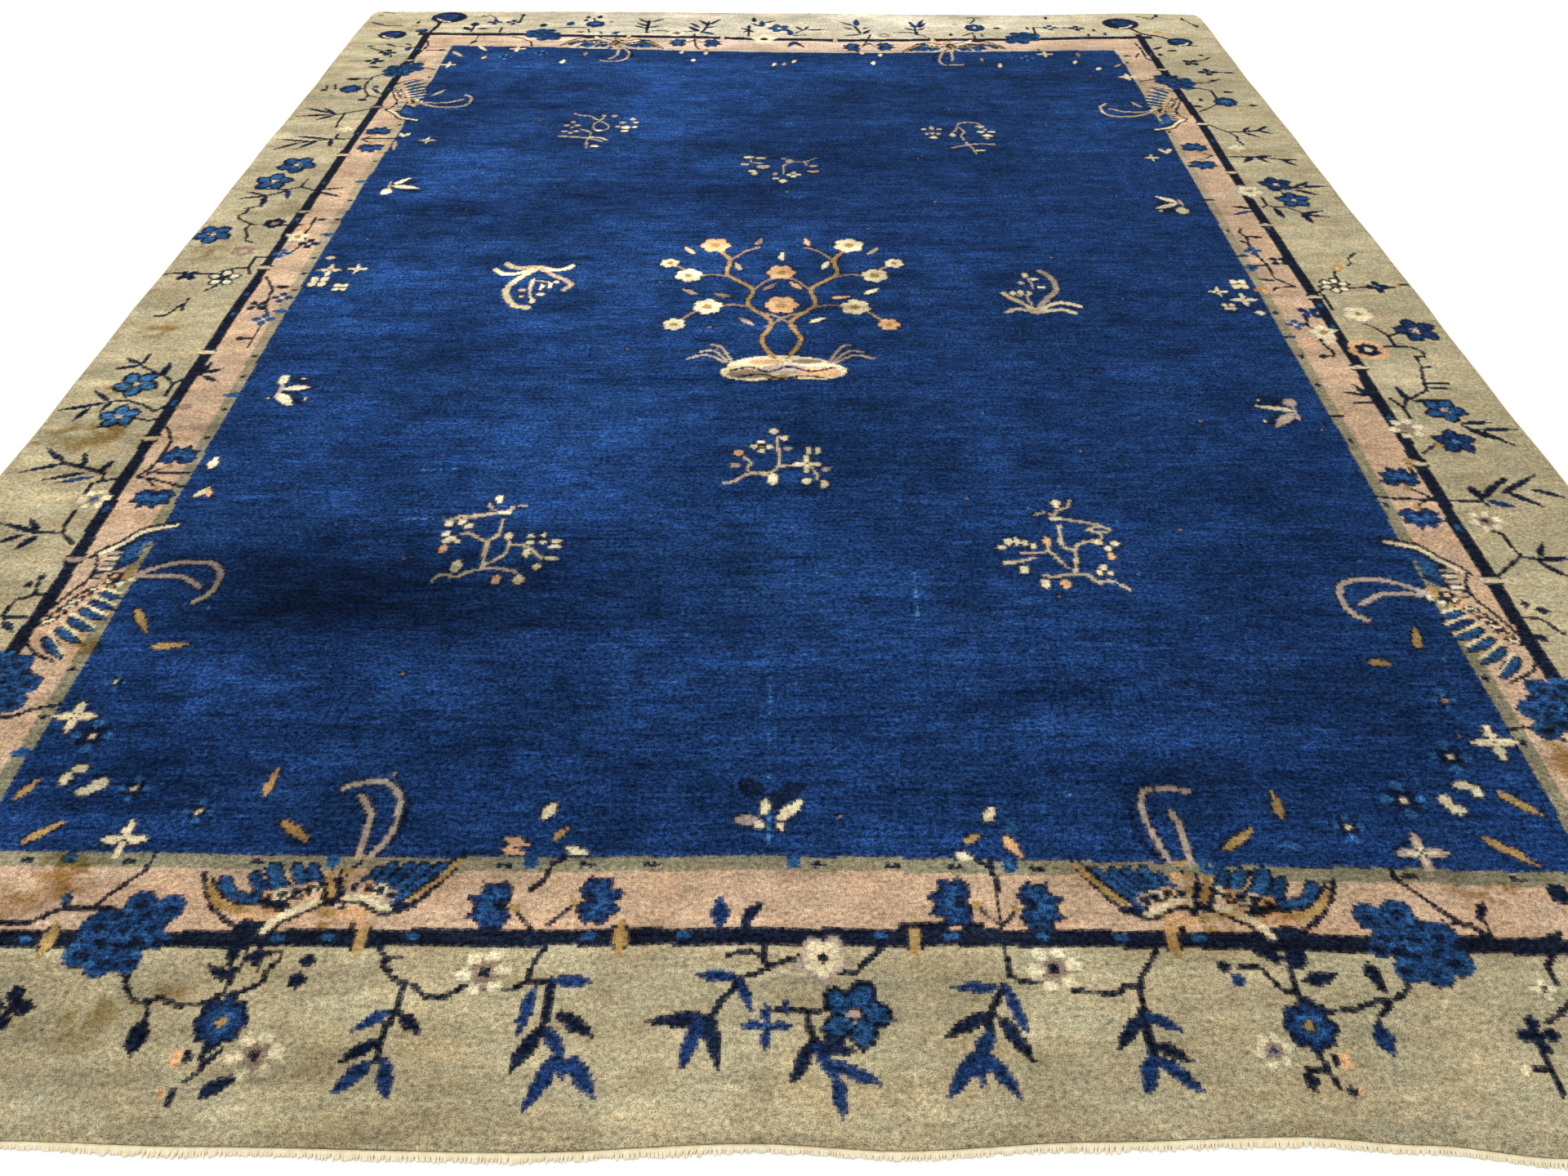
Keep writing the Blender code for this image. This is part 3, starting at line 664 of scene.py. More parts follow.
# Single leaves and buds of the border. Columns: root x, root d, tip x, tip d, width, any yarn but leafNavy.
borderLeaves = [
    (-709, 130, -706, 90, 26), (-632, 182, -658, 199, 15), (-637, 206, -634, 224, 17),
    (-609, 200, -608, 224, 19), (-614, 47, -583, 68, 20), (-868, 283, -864, 298, 12, "midBlue"),
    (-67, 254, -66, 293, 22, "leafBlue"), (-36, 250, -36, 268, 14), (-38, 262, -16, 284, 17),
    (600, 202, 622, 226, 26), (597, 210, 564, 220, 15), (611, 184, 650, 191, 21),
    (691, 207, 699, 171, 21, "navy"), (674, 128, 681, 97, 25, "leafBlue"),
    (13, 142, 13, 158, 11, "leafBlue"), (860, 288, 846, 268, 10), (-1167, 862, -1167, 878, 16),
    (-1180, 846, -1180, 861, 15), (-1180, 770, -1153, 747, 15), (-1217, 977, -1300, 1003, 13),
    (-1227, 987, -1253, 1013, 14), (-1247, 973, -1277, 953, 13), (-1220, 970, -1243, 937, 16),
    (-1270, 1173, -1317, 1213, 13), (-1227, 1157, -1243, 1200, 12), (-1270, 1167, -1330, 1143, 12),
    (-1193, 1143, -1183, 1177, 15), (-1217, 1143, -1283, 1120, 12),
    (-1197, 1130, -1257, 1113, 12, "leafBlue"), (-1270, 1363, -1310, 1398, 12),
    (-1277, 1357, -1352, 1333, 13), (-1297, 1343, -1311, 1297, 13), (-1267, 1363, -1272, 1328, 12),
    (-1122, 1450, -1085, 1430, 12), (-1260, 1492, -1258, 1532, 12), (-1265, 1495, -1300, 1515, 12),
    (-1262, 1488, -1305, 1477, 12), (-1203, 1453, -1205, 1497, 17), (-1130, 1453, -1125, 1502, 14),
    (-1122, 1463, -1095, 1478, 14), (-1108, 1590, -1090, 1590, 16), (-1092, 1803, -1064, 1803, 17),
    (-1100, 2127, -1076, 2127, 14), (-1220, 2290, -1208, 2240, 16, "leafBlue"),
    (-1263, 2258, -1320, 2278, 11), (-1263, 2255, -1328, 2237, 11), (-1263, 2255, -1257, 2196, 17),
    (-1140, 2290, -1091, 2301, 12), (-1140, 2277, -1083, 2252, 12), (-1203, 2600, -1193, 2553, 16),
    (-1210, 2603, -1307, 2622, 13), (-1250, 2585, -1345, 2600, 12), (-1280, 2577, -1332, 2537, 14),
    (-1235, 2592, -1278, 2536, 14), (-1240, 2772, -1283, 2818, 15), (-1262, 2785, -1335, 2818, 14),
    (-1250, 2772, -1345, 2757, 14), (-1240, 2768, -1282, 2732, 14), (-1282, 3042, -1240, 3042, 22),
    (-1187, 2967, -1157, 2927, 15, "leafBlue"), (-1190, 2985, -1174, 2975, 18),
    (-1207, 2882, -1180, 2876, 20), (-1335, 2953, -1312, 2955, 18), (-1298, 2918, -1283, 2914, 13, "taupe"),
    (-1243, 3345, -1208, 3322, 12), (-1180, 3350, -1162, 3330, 11),
    (-1163, 3317, -1165, 3283, 22, "leafBlue"), (-1070, 3292, -1046, 3288, 17),
    (-1295, 3325, -1275, 3322, 13), (-1245, 3143, -1205, 3137, 14), (1120, 1387, 1103, 1430, 15),
    (1117, 1393, 1078, 1402, 12), (1117, 1368, 1080, 1366, 12), (1187, 1377, 1183, 1420, 15),
    (1197, 1373, 1247, 1377, 13), (1240, 1436, 1290, 1434, 10), (1240, 1419, 1286, 1416, 10),
    (1257, 1300, 1312, 1303, 12), (1283, 1280, 1350, 1281, 12), (1270, 1283, 1325, 1232, 13),
    (1257, 1292, 1285, 1255, 12), (1193, 1112, 1197, 1077, 19), (1243, 1093, 1322, 1145, 13),
    (1297, 1103, 1342, 1082, 13), (1250, 1095, 1295, 1055, 14), (1207, 1070, 1245, 1056, 16, "leafBlue"),
    (1205, 1085, 1263, 1136, 13), (1227, 927, 1249, 962, 13), (1223, 920, 1275, 923, 12),
    (1220, 915, 1252, 878, 13), (1148, 817, 1160, 815, 18), (1164, 803, 1184, 800, 15),
    (1139, 750, 1150, 735, 17), (1045, 1844, 1074, 1840, 11), (1083, 2047, 1108, 2044, 13),
    (1070, 1530, 1092, 1532, 15), (1183, 2197, 1190, 2140, 17), (1243, 2168, 1292, 2182, 13),
    (1243, 2163, 1297, 2149, 12), (1240, 2166, 1250, 2116, 18), (1125, 2195, 1083, 2204, 13),
    (1125, 2182, 1076, 2162, 14, "leafBlue"), (1262, 2312, 1310, 2342, 13), (1290, 2318, 1352, 2321, 11),
    (1262, 2300, 1312, 2270, 14), (1300, 2310, 1302, 2342, 11), (1237, 2657, 1272, 2622, 13),
    (1237, 2662, 1264, 2692, 13), (1280, 2668, 1312, 2698, 14), (1280, 2668, 1315, 2646, 13),
    (1217, 2497, 1186, 2462, 19), (1222, 2497, 1250, 2458, 14), (1225, 2498, 1265, 2501, 12),
    (1290, 2478, 1324, 2478, 12), (1286, 2477, 1315, 2440, 14), (1262, 2950, 1290, 2948, 19),
    (1183, 2876, 1183, 2900, 13), (1152, 2840, 1175, 2840, 18), (1308, 2847, 1332, 2847, 16),
    (1270, 2813, 1291, 2812, 13, "ochre"), (1245, 3034, 1278, 3046, 12), (1143, 3303, 1175, 3328, 15),
    (1182, 3290, 1215, 3293, 17), (1153, 3246, 1153, 3268, 18), (1038, 3245, 1062, 3245, 14),
    (1268, 3250, 1286, 3250, 15), (1304, 3103, 1337, 3103, 13), (1200, 3347, 1300, 3334, 14),
    # far end
    (-1002, 3515, -1002, 3553, 30), (-1033, 3506, -1006, 3474, 22), (-984, 3490, -949, 3490, 17),
    (-998, 3613, -976, 3613, 13), (-860, 3614, -860, 3637, 15), (-780, 3507, -779, 3541, 26),
    (-694, 3522, -692, 3560, 29, "leafBlue"), (-643, 3592, -643, 3615, 16), (-605, 3592, -605, 3621, 19),
    (-647, 3564, -646, 3584, 19), (-563, 3550, -563, 3571, 15, "taupe"), (-662, 3460, -639, 3460, 13),
    (-546, 3443, -527, 3462, 22, "leafBlue"), (-979, 3349, -968, 3381, 16), (-447, 3553, -475, 3590, 13),
    (-430, 3557, -394, 3590, 14), (-443, 3517, -478, 3551, 13), (-446, 3498, -485, 3522, 12),
    (-434, 3503, -400, 3519, 12), (-273, 3467, -308, 3511, 22), (-272, 3500, -304, 3548, 14),
    (-247, 3527, -281, 3582, 14), (-242, 3532, -209, 3582, 14), (-258, 3497, -219, 3515, 13),
    (-262, 3461, -219, 3436, 18, "leafBlue"), (-97, 3555, -101, 3603, 16),
    (-72, 3512, -73, 3568, 22, "leafBlue"), (-80, 3515, -107, 3545, 12), (-63, 3550, -32, 3567, 13),
    (-113, 3480, -142, 3500, 12), (-113, 3480, -97, 3456, 12), (-113, 3480, -128, 3458, 12),
    (-113, 3495, -113, 3526, 14), (20, 3431, 15, 3483, 23, "leafBlue"), (55, 3483, 37, 3518, 14),
    (65, 3485, 78, 3518, 13), (72, 3483, 132, 3483, 13), (233, 3520, 234, 3583, 20, "leafBlue"),
    (224, 3520, 179, 3562, 11), (220, 3485, 193, 3505, 12), (253, 3492, 271, 3504, 12),
    (252, 3442, 273, 3479, 18), (243, 3438, 196, 3426, 12), (420, 3497, 407, 3562, 16, "leafBlue"),
    (427, 3507, 451, 3579, 16, "leafBlue"), (434, 3502, 458, 3548, 12), (414, 3478, 387, 3501, 12),
    (427, 3478, 452, 3502, 12), (530, 3427, 530, 3449, 13), (627, 3443, 630, 3421, 12),
    (545, 3533, 564, 3533, 13, "taupe"), (672, 3500, 696, 3497, 18), (30, 3372, 12, 3320, 18, "leafBlue"),
    (32, 3372, 62, 3316, 14), (30, 3372, 34, 3340, 14, "leafBlue"), (-40, 3405, -3, 3382, 18),
    (855, 3588, 856, 3614, 15), (780, 3488, 781, 3512, 13, "leafBlue"), (965, 3424, 968, 3448, 13),
    (1020, 3434, 1022, 3458, 13, "leafBlue"), (990, 3470, 992, 3492, 13), (1222, 3612, 1224, 3637, 14),
    (1300, 3578, 1302, 3604, 14, "leafBlue"), (1330, 3508, 1332, 3534, 14),
    (-1340, 3550, -1294, 3522, 14, "leafBlue"), (-1190, 3540, -1188, 3562, 14),
]

# Blossoms. Columns: kind, x, d, radius, petal yarn, heart yarn.
borderBlossoms = [
    ("four", -867, 146, 27, "leafNavy", "navy"), ("four", 850, 120, 23, "leafNavy", "navy"),
    ("four", 882, 175, 13, "cream", "navy"), ("cross", -9, 127, 28, "leafBlue", "midBlue"),
    ("folded", 56, 211, 30, "cream", "navy"), ("pinwheel", 92, 142, 44, "midBlue", "pink"),
    ("pinwheel", -1230, 1313, 40, "skyBlue", "pink"), ("pinwheel", -1242, 1423, 46, "skyBlue", "pink"),
    ("turned", -1108, 1723, 22, "leafNavy", "midBlue"), ("four", -1077, 1667, 24, "midBlue", "cream"),
    ("four", -1067, 1757, 22, "leafBlue", "cream"), ("turned", -1305, 1853, 24, "leafNavy", "midBlue"),
    ("round", -1222, 1968, 25, "taupe", "plume"), ("pinwheel", -1320, 2050, 48, "midBlue", "pink"),
    ("round", -1195, 2107, 26, "leafNavy", "taupe"), ("star", -1120, 2040, 28, "cream", "ochre"),
    ("four", -1083, 2005, 24, "leafNavy", "plume"), ("four", -1131, 1957, 22, "midBlue", "leafBlue"),
    ("pinwheel", -1272, 2338, 50, "midBlue", "cream"), ("pinwheel", -1243, 2436, 52, "midBlue", "cream"),
    ("four", -1183, 2667, 20, "cream", "pink"), ("turned", 1107, 1700, 26, "leafBlue", "midBlue"),
    ("four", 1063, 1653, 20, "midBlue", "cream"), ("star", 1110, 1622, 29, "cream", "ochre"),
    ("pinwheel", 1223, 1243, 40, "leafBlue", "skyBlue"), ("pinwheel", 1243, 1343, 42, "midBlue", "pink"),
    ("pinwheel", 1303, 1630, 47, "leafBlue", "pink"), ("folded", 1208, 1697, 38, "cream", "taupe"),
    ("four", 1290, 1812, 26, "leafNavy", "midBlue"), ("round", 1230, 1893, 15, "ochre", "peach"),
    ("four", 1067, 1977, 21, "midBlue", "leafBlue"), ("turned", 1112, 1927, 22, "leafNavy", "cream"),
    ("four", 1040, 1897, 17, "midBlue", "leafBlue"), ("pinwheel", 1227, 2330, 43, "leafBlue", "pink"),
    ("pinwheel", 1243, 2240, 44, "midBlue", "pink"), ("folded", 1150, 2290, 37, "cream", "taupe"),
    ("four", 1190, 2550, 22, "cream", "pink"), ("four", -1220, 3267, 27, "leafNavy", "midBlue"),
    ("four", -1240, 3193, 28, "leafNavy", "midBlue"), ("four", -940, 3553, 25, "leafBlue", "midBlue"),
    ("four", -880, 3553, 25, "leafNavy", "midBlue"), ("pinwheel", -17, 3497, 37, "midBlue", "cream"),
    ("star", -63, 3393, 42, "cream", "navy"), ("round", 317, 3430, 20, "taupe", "pink"),
    ("four", 855, 3505, 25, "leafBlue", "cream"), ("four", 940, 3500, 25, "leafNavy", "midBlue"),
    ("turned", 1229, 3187, 27, "leafNavy", "leafBlue"), ("four", 1258, 3107, 28, "leafNavy", "leafBlue"),
]

# Round flowers with an ochre heart, cream ones on the stems, and peonies. Columns: x, d, the motif's own.
roundFlowers = [
    (-621, 130, 30, "ochre"), (600, 129, 30, "ochre"), (-1250, 2963, 31, "skyBlue"),
    (1249, 2873, 33, "skyBlue"), (-613, 3537, 31, "skyBlue"), (612, 3503, 33, "cream"),
]
creamFlowers = [
    (-337, 191, 31, "navy"), (325, 198, 31, "navy"), (-570, 91, 31, "navy"), (551, 100, 22, "leafBlue"),
    (-1170, 1067, 28, "midBlue"), (1180, 1017, 28, "navy"), (1150, 1283, 32, "taupe"),
    (-343, 3450, 28, "navy"),
]
ringFlowers = [
    (-1222, 1843, 36, 5, "navy"), (1200, 1818, 34, 6, "ochre"),
]
peonies = [
    (-785, 235, "near", 1), (765, 228, "near", -1), (-1126, 655, "left", -1), (1108, 613, "right", -1),
    (-1142, 3113, "left", 1), (1148, 3016, "right", 1), (-775, 3440, "far", 1), (762, 3412, "far", -1),
]
endBirds = [
    (-555, 290, "near", 1), (535, 286, "near", -1, False), (-540, 3368, "far", 1),
    (530, 3338, "far", -1, False),
]
sideBirds = [
    (-1060, 870, "left", 1), (1050, 835, "right", 1), (-1062, 2862, "left", -1), (1062, 2802, "right", -1),
]
halfFlowers = [
    (-338, 280, "near", -1), (-222, 288, "near", 1), (222, 286, "near", -1), (314, 281, "near", 1),
    (-1072, 1078, "left", -1), (-1072, 1186, "left", 1), (1076, 1032, "right", -1),
    (1080, 1130, "right", 1), (-1085, 2553, "left", -1), (-1090, 2650, "left", 1),
    (1077, 2453, "right", -1), (1080, 2550, "right", 1), (-325, 3360, "far", -1), (-232, 3356, "far", 1),
    (218, 3320, "far", -1), (307, 3325, "far", 1),
]
bamboos = [
    (-427, 177, "near", 1, "tall"), (-257, 177, "near", 1, "wide"), (38, 145, "near", 1, "slim"),
    (265, 177, "near", 1, "full"), (417, 142, "near", 1, "open"), (-40, 180, "near", 1, "low"),
]
# Thick stems that leaves grow from.
boughs = [
    [(-1270, 1170), (-1227, 1157), (-1183, 1140)], [(1200, 1077), (1262, 1132)],
    [(-438, 3453), (-442, 3493), (-440, 3568)], [(-265, 3455), (-256, 3482), (-247, 3527), (-246, 3560)],
    [(243, 3447), (236, 3480), (227, 3515)], [(420, 3440), (420, 3492)], [(1238, 2659), (1282, 2668)],
]
# Small dabs anywhere. Columns: x, d, width, depth, yarn.
dabs = [
    (-655, 87, 15, 23, "peach"), (-644, 90, 13, 16, "leafNavy"), (-645, 45, 11, 19, "leafNavy"),
    (-657, 50, 9, 16, "peach"), (-547, 206, 22, 15, "leafNavy"), (-551, 181, 19, 22, "leafNavy"),
    (522, 202, 18, 15, "leafNavy"), (535, 185, 15, 20, "leafBlue"), (581, 66, 17, 21, "leafNavy"),
    (615, 90, 8, 16, "leafNavy"), (627, 90, 15, 21, "peach"), (622, 55, 11, 17, "leafNavy"),
    (630, 58, 7, 11, "peach"), (820, 80, 12, 11, "cream"), (960, 300, 26, 32, "leafNavy"),
    (-817, 120, 5, 5, "navy"), (-1247, 1770, 14, 9, "peach"), (1113, 1592, 18, 22, "cream"),
    (1070, 1580, 26, 20, "peach"), (1335, 1815, 16, 12, "ochre"), (1035, 1797, 34, 18, "ochre"),
    (1040, 1790, 14, 22, "peach"), (-1118, 2085, 26, 34, "peach"), (-1120, 1345, 30, 20, "taupe"),
    (-1190, 3520, 34, 20, "ochre"), (-1200, 3480, 24, 16, "ochre"), (1190, 3460, 30, 20, "ochre"),
    (1120, 3450, 24, 16, "ochre"), (-1160, 3470, 44, 34, "leafNavy"), (-1164, 3474, 24, 18, "midBlue"),
    (885, 3450, 16, 9, "peach"), (-885, 3450, 14, 9, "peach"), (1187, 1230, 10, 24, "ochre"),
    (1115, 1185, 34, 9, "ochre"), (1112, 1172, 9, 22, "ochre"), (-1330, 3620, 20, 8, "navy"),
]

# The blue field's own bits. Leaves: root x, root d, tip x, tip d, width, yarn.
fieldLeaves = [
    (-675, 446, -671, 486, 15, "ochre"), (-637, 402, -597, 374, 15, "ochre"),
    (655, 412, 655, 454, 13, "ochre"), (570, 364, 609, 394, 13, "ochre"),
    (-303, 408, -288, 432, 15, "cream"), (-282, 378, -270, 391, 11, "ochre"),
    (-344, 377, -316, 367, 13, "peach"), (-344, 361, -318, 354, 11, "peach"),
    (-262, 362, -240, 354, 12, "cream"), (270, 408, 284, 428, 14, "cream"),
    (292, 390, 310, 400, 14, "midBlue"), (240, 372, 256, 384, 12, "ochre"),
    (290, 382, 308, 354, 13, "peach"), (228, 356, 244, 348, 11, "cream"),
    (646, 370, 664, 371, 12, "midBlue"), (-987, 796, -953, 748, 16, "ochre"),
    (-932, 717, -883, 722, 15, "ochre"), (-1000, 438, -986, 466, 15, "ochre"),
    (-959, 369, -923, 399, 14, "ochre"), (952, 721, 963, 762, 16, "ochre"),
    (868, 690, 898, 689, 16, "ochre"), (954, 453, 993, 419, 17, "ochre"), (902, 383, 953, 342, 15, "ochre"),
    (-1000, 1075, -987, 1100, 12, "cream"), (-975, 1078, -988, 1099, 12, "peach"),
    (-1004, 1155, -1003, 1186, 14, "cream"), (-977, 2957, -1003, 2913, 12, "plume"),
    (983, 2870, 1003, 2832, 11, "plume"), (-1020, 3277, -983, 3233, 14, "plume"),
    (-1030, 2590, -1020, 2536, 12, "plume"), (-1028, 2642, -1014, 2620, 12, "cream"),
    (-1003, 2644, -1014, 2620, 12, "cream"), (987, 2545, 999, 2520, 12, "cream"),
    (1013, 2545, 1001, 2520, 12, "cream"), (993, 3150, 1013, 3174, 10, "plume"),
    (-950, 3330, -920, 3286, 13, "cream"), (-672, 3176, -668, 3206, 14, "cream"),
    (648, 3146, 652, 3176, 14, "cream"), (-610, 3246, -608, 3272, 13, "ochre"),
    (600, 3197, 601, 3224, 13, "ochre"), (900, 3240, 901, 3270, 13, "taupe"),
    (-32, 3160, -27, 3182, 13, "cream"), (28, 3184, 33, 3206, 13, "cream"),
    (-2, 3160, 2, 3182, 12, "plume"), (876, 3178, 884, 3202, 13, "cream"),
    (936, 3124, 944, 3146, 13, "cream"), (1006, 3054, 1012, 3078, 13, "cream"),
    (-918, 3214, -912, 3236, 13, "plume"), (-316, 3264, -314, 3286, 12, "cream"),
    (-241, 3254, -239, 3277, 12, "cream"), (-276, 3194, -274, 3216, 13, "cream"),
    (239, 3258, 241, 3282, 12, "cream"), (294, 3240, 296, 3262, 12, "cream"),
    (269, 3170, 271, 3192, 13, "cream"),
]
fieldBlossoms = [
    ("loose", 736, 398, 17, "bloomBlue", "cream"), ("cross", -985, 580, 27, "cream", None),
    ("cross", 986, 540, 29, "cream", "taupe"), ("loose", 949, 617, 15, "bloomBlue", "taupe"),
    ("loose", -946, 545, 23, "bloomBlue", "cream"), ("loose", 914, 515, 23, "bloomBlue", "cream"),
    ("loose", 824, 442, 24, "bloomBlue", "cream"), ("loose", -851, 454, 17, "bloomBlue", "cream"),
    ("loose", -752, 418, 15, "bloomBlue", "cream"), ("loose", -954, 645, 12, "bloomBlue", "cream"),
    ("cross", -831, 374, 27, "cream", "field"), ("cross", 815, 359, 31, "plume", None),
    ("cross", 815, 359, 17, "cream", "shade"), ("cross", 985, 1755, 26, "cream", "ochre"),
    ("cross", -1000, 1880, 25, "cream", "ochre"), ("turned", -1010, 1827, 24, "cream", "leafBlue"),
    ("cross", -942, 1885, 19, "cream", "plume"), ("turned", -955, 1803, 18, "cream", "leafBlue"),
    ("turned", 993, 1823, 22, "cream", "shade"), ("cross", 940, 1790, 18, "cream", "plume"),
    ("turned", 945, 1725, 16, "cream", "shade"), ("cross", -945, 2595, 19, "cream", "plume"),
    ("cross", 955, 2490, 18, "cream", "plume"), ("cross", 1013, 3067, 25, "cream", "plume"),
    ("cross", -826, 3302, 24, "cream", None), ("cross", 800, 3260, 24, "cream", None),
    ("cross", -1010, 3163, 22, "cream", None), ("loose", -745, 3265, 17, "skyBlue", "midBlue"),
    ("loose", -850, 3230, 17, "skyBlue", "midBlue"), ("loose", 740, 3225, 17, "skyBlue", "midBlue"),
]
# Fallen petals of the near corners. Columns: x, d, width, depth.
fallenPetals = [
    (-1014, 1937, 19, 15), (1003, 1700, 20, 15), (-937, 488, 21, 16), (-949, 471, 14, 21),
    (-900, 461, 20, 21), (-914, 450, 23, 16), (910, 466, 23, 13), (925, 456, 14, 19), (878, 440, 14, 21),
    (889, 426, 21, 14),
]
# Loose sprays in the field. Stems by their bends, with their width and yarn.
sprayStems = [
    # two at the near end, each with a small perching bird
    ([-463, 1012, -463, 977, -477, 957, -475, 907, -470, 893], 6, "straw"),
    ([-477, 957, -493, 967, -510, 980, -523, 977], 5, "straw"),
    ([-475, 900, -445, 925, -440, 950, -445, 966], 5, "straw"),
    ([-440, 950, -413, 947, -392, 928, -383, 917], 5, "straw"),
    ([-547, 863, -537, 877, -510, 873, -497, 883, -467, 892, -427, 888, -407, 873], 5, "straw"),
    ([-556, 1013, -520, 1020, -467, 1034], 6, "plume"), ([-540, 1022, -500, 1028, -470, 1036], 5, "straw"),
    ([-466, 1034, -455, 1040, -447, 1052, -428, 1051], 6, "plume"),
    ([-492, 1059, -486, 1043, -470, 1036], 5, "plume"),
    ([465, 1002, 462, 953, 479, 937, 475, 900, 470, 882], 6, "straw"),
    ([479, 940, 492, 957, 519, 963], 5, "straw"), ([392, 934, 425, 933, 439, 937, 462, 897], 5, "straw"),
    ([372, 907, 392, 914, 412, 922], 5, "straw"),
    ([422, 880, 439, 877, 465, 882, 489, 881, 505, 863, 525, 867, 549, 847], 5, "straw"),
    ([462, 1022, 500, 1014, 534, 1003], 6, "plume"), ([462, 1022, 450, 1036, 429, 1030], 6, "plume"),
    ([495, 1070, 485, 1050, 468, 1042, 462, 1024], 5, "plume"), ([439, 960, 437, 938], 5, "straw"),
    ([510, 992, 529, 1000, 548, 992, 529, 984, 510, 992], 4.6, "straw"),
    ([529, 984, 527, 966, 514, 966], 4.6, "straw"),
    # one before the rock
    ([-3, 1254, -6, 1234, -3, 1214, -3, 1164, -19, 1147, -53, 1147, -53, 1177, -63, 1191], 5, "straw"),
    ([-20, 1140, -59, 1140, -79, 1121, -99, 1115], 5, "straw"),
    ([-3, 1164, 31, 1169, 47, 1171, 61, 1151, 67, 1127], 5, "straw"),
    # two at the far end, upside down
    ([-580, 2784, -557, 2767, -533, 2764, -517, 2744, -503, 2731, -517, 2704, -510, 2671, -500, 2657], 5,
     "plume"), ([-503, 2728, -483, 2711, -473, 2681, -487, 2664], 5, "plume"),
    ([-495, 2750, -503, 2731], 5, "plume"), ([-550, 2674, -520, 2651, -517, 2631], 5, "plume"),
    ([-600, 2624, -533, 2614, -500, 2600, -480, 2590], 7, "plume"), ([-523, 2606, -517, 2547], 6, "plume"),
    ([-517, 2618, -487, 2612, -468, 2598], 6, "cream"), ([471, 2691, 464, 2664, 454, 2651], 5, "plume"),
    ([474, 2691, 487, 2657, 477, 2631, 481, 2604], 5, "plume"),
    ([471, 2691, 475, 2706, 494, 2721, 527, 2717, 534, 2701], 5, "plume"),
    ([444, 2551, 484, 2568, 520, 2577, 557, 2574], 7, "plume"),
    ([484, 2590, 488, 2568, 497, 2551, 504, 2511], 6, "plume"),
    # one past the rock
    ([-83, 2475, -80, 2455, -53, 2451], 5, "plume"), ([17, 2455, 3, 2438, 0, 2385], 5, "plume"),
    ([20, 2463, 57, 2463, 87, 2486], 5, "plume"), ([57, 2463, 60, 2438], 5, "plume"),
    # the long leaves of two orchids
    ([-547, 1897, -580, 1891, -600, 1897, -613, 1911], 15, "straw"),
    ([-553, 1887, -580, 1867, -613, 1864, -633, 1884], 12, "cream"),
    ([-537, 1897, -507, 1884, -480, 1887, -465, 1901], 13, "cream"),
    ([-533, 1887, -500, 1857, -467, 1831, -457, 1814, -470, 1794], 12, "plume"),
    ([-543, 1887, -573, 1847, -593, 1801, -587, 1761, -563, 1724, -537, 1717], 14, "straw"),
    ([-543, 1840, -543, 1787, -533, 1752], 5, "straw"), ([-543, 1835, -520, 1830, -500, 1822], 5, "plume"),
    ([541, 1714, 564, 1754, 591, 1794, 594, 1827, 584, 1861, 569, 1881], 13, "plume"),
    ([531, 1714, 504, 1747, 487, 1764, 477, 1782], 11, "straw"),
    ([531, 1707, 504, 1714, 487, 1711, 474, 1702], 11, "straw"),
    ([551, 1714, 571, 1734, 597, 1741, 631, 1727], 11, "cream"),
    ([547, 1704, 577, 1711, 597, 1711, 614, 1699], 11, "cream"), ([524, 1775, 529, 1734], 5, "straw"),
    ([537, 1847, 544, 1814, 541, 1801], 5, "plume"),
]
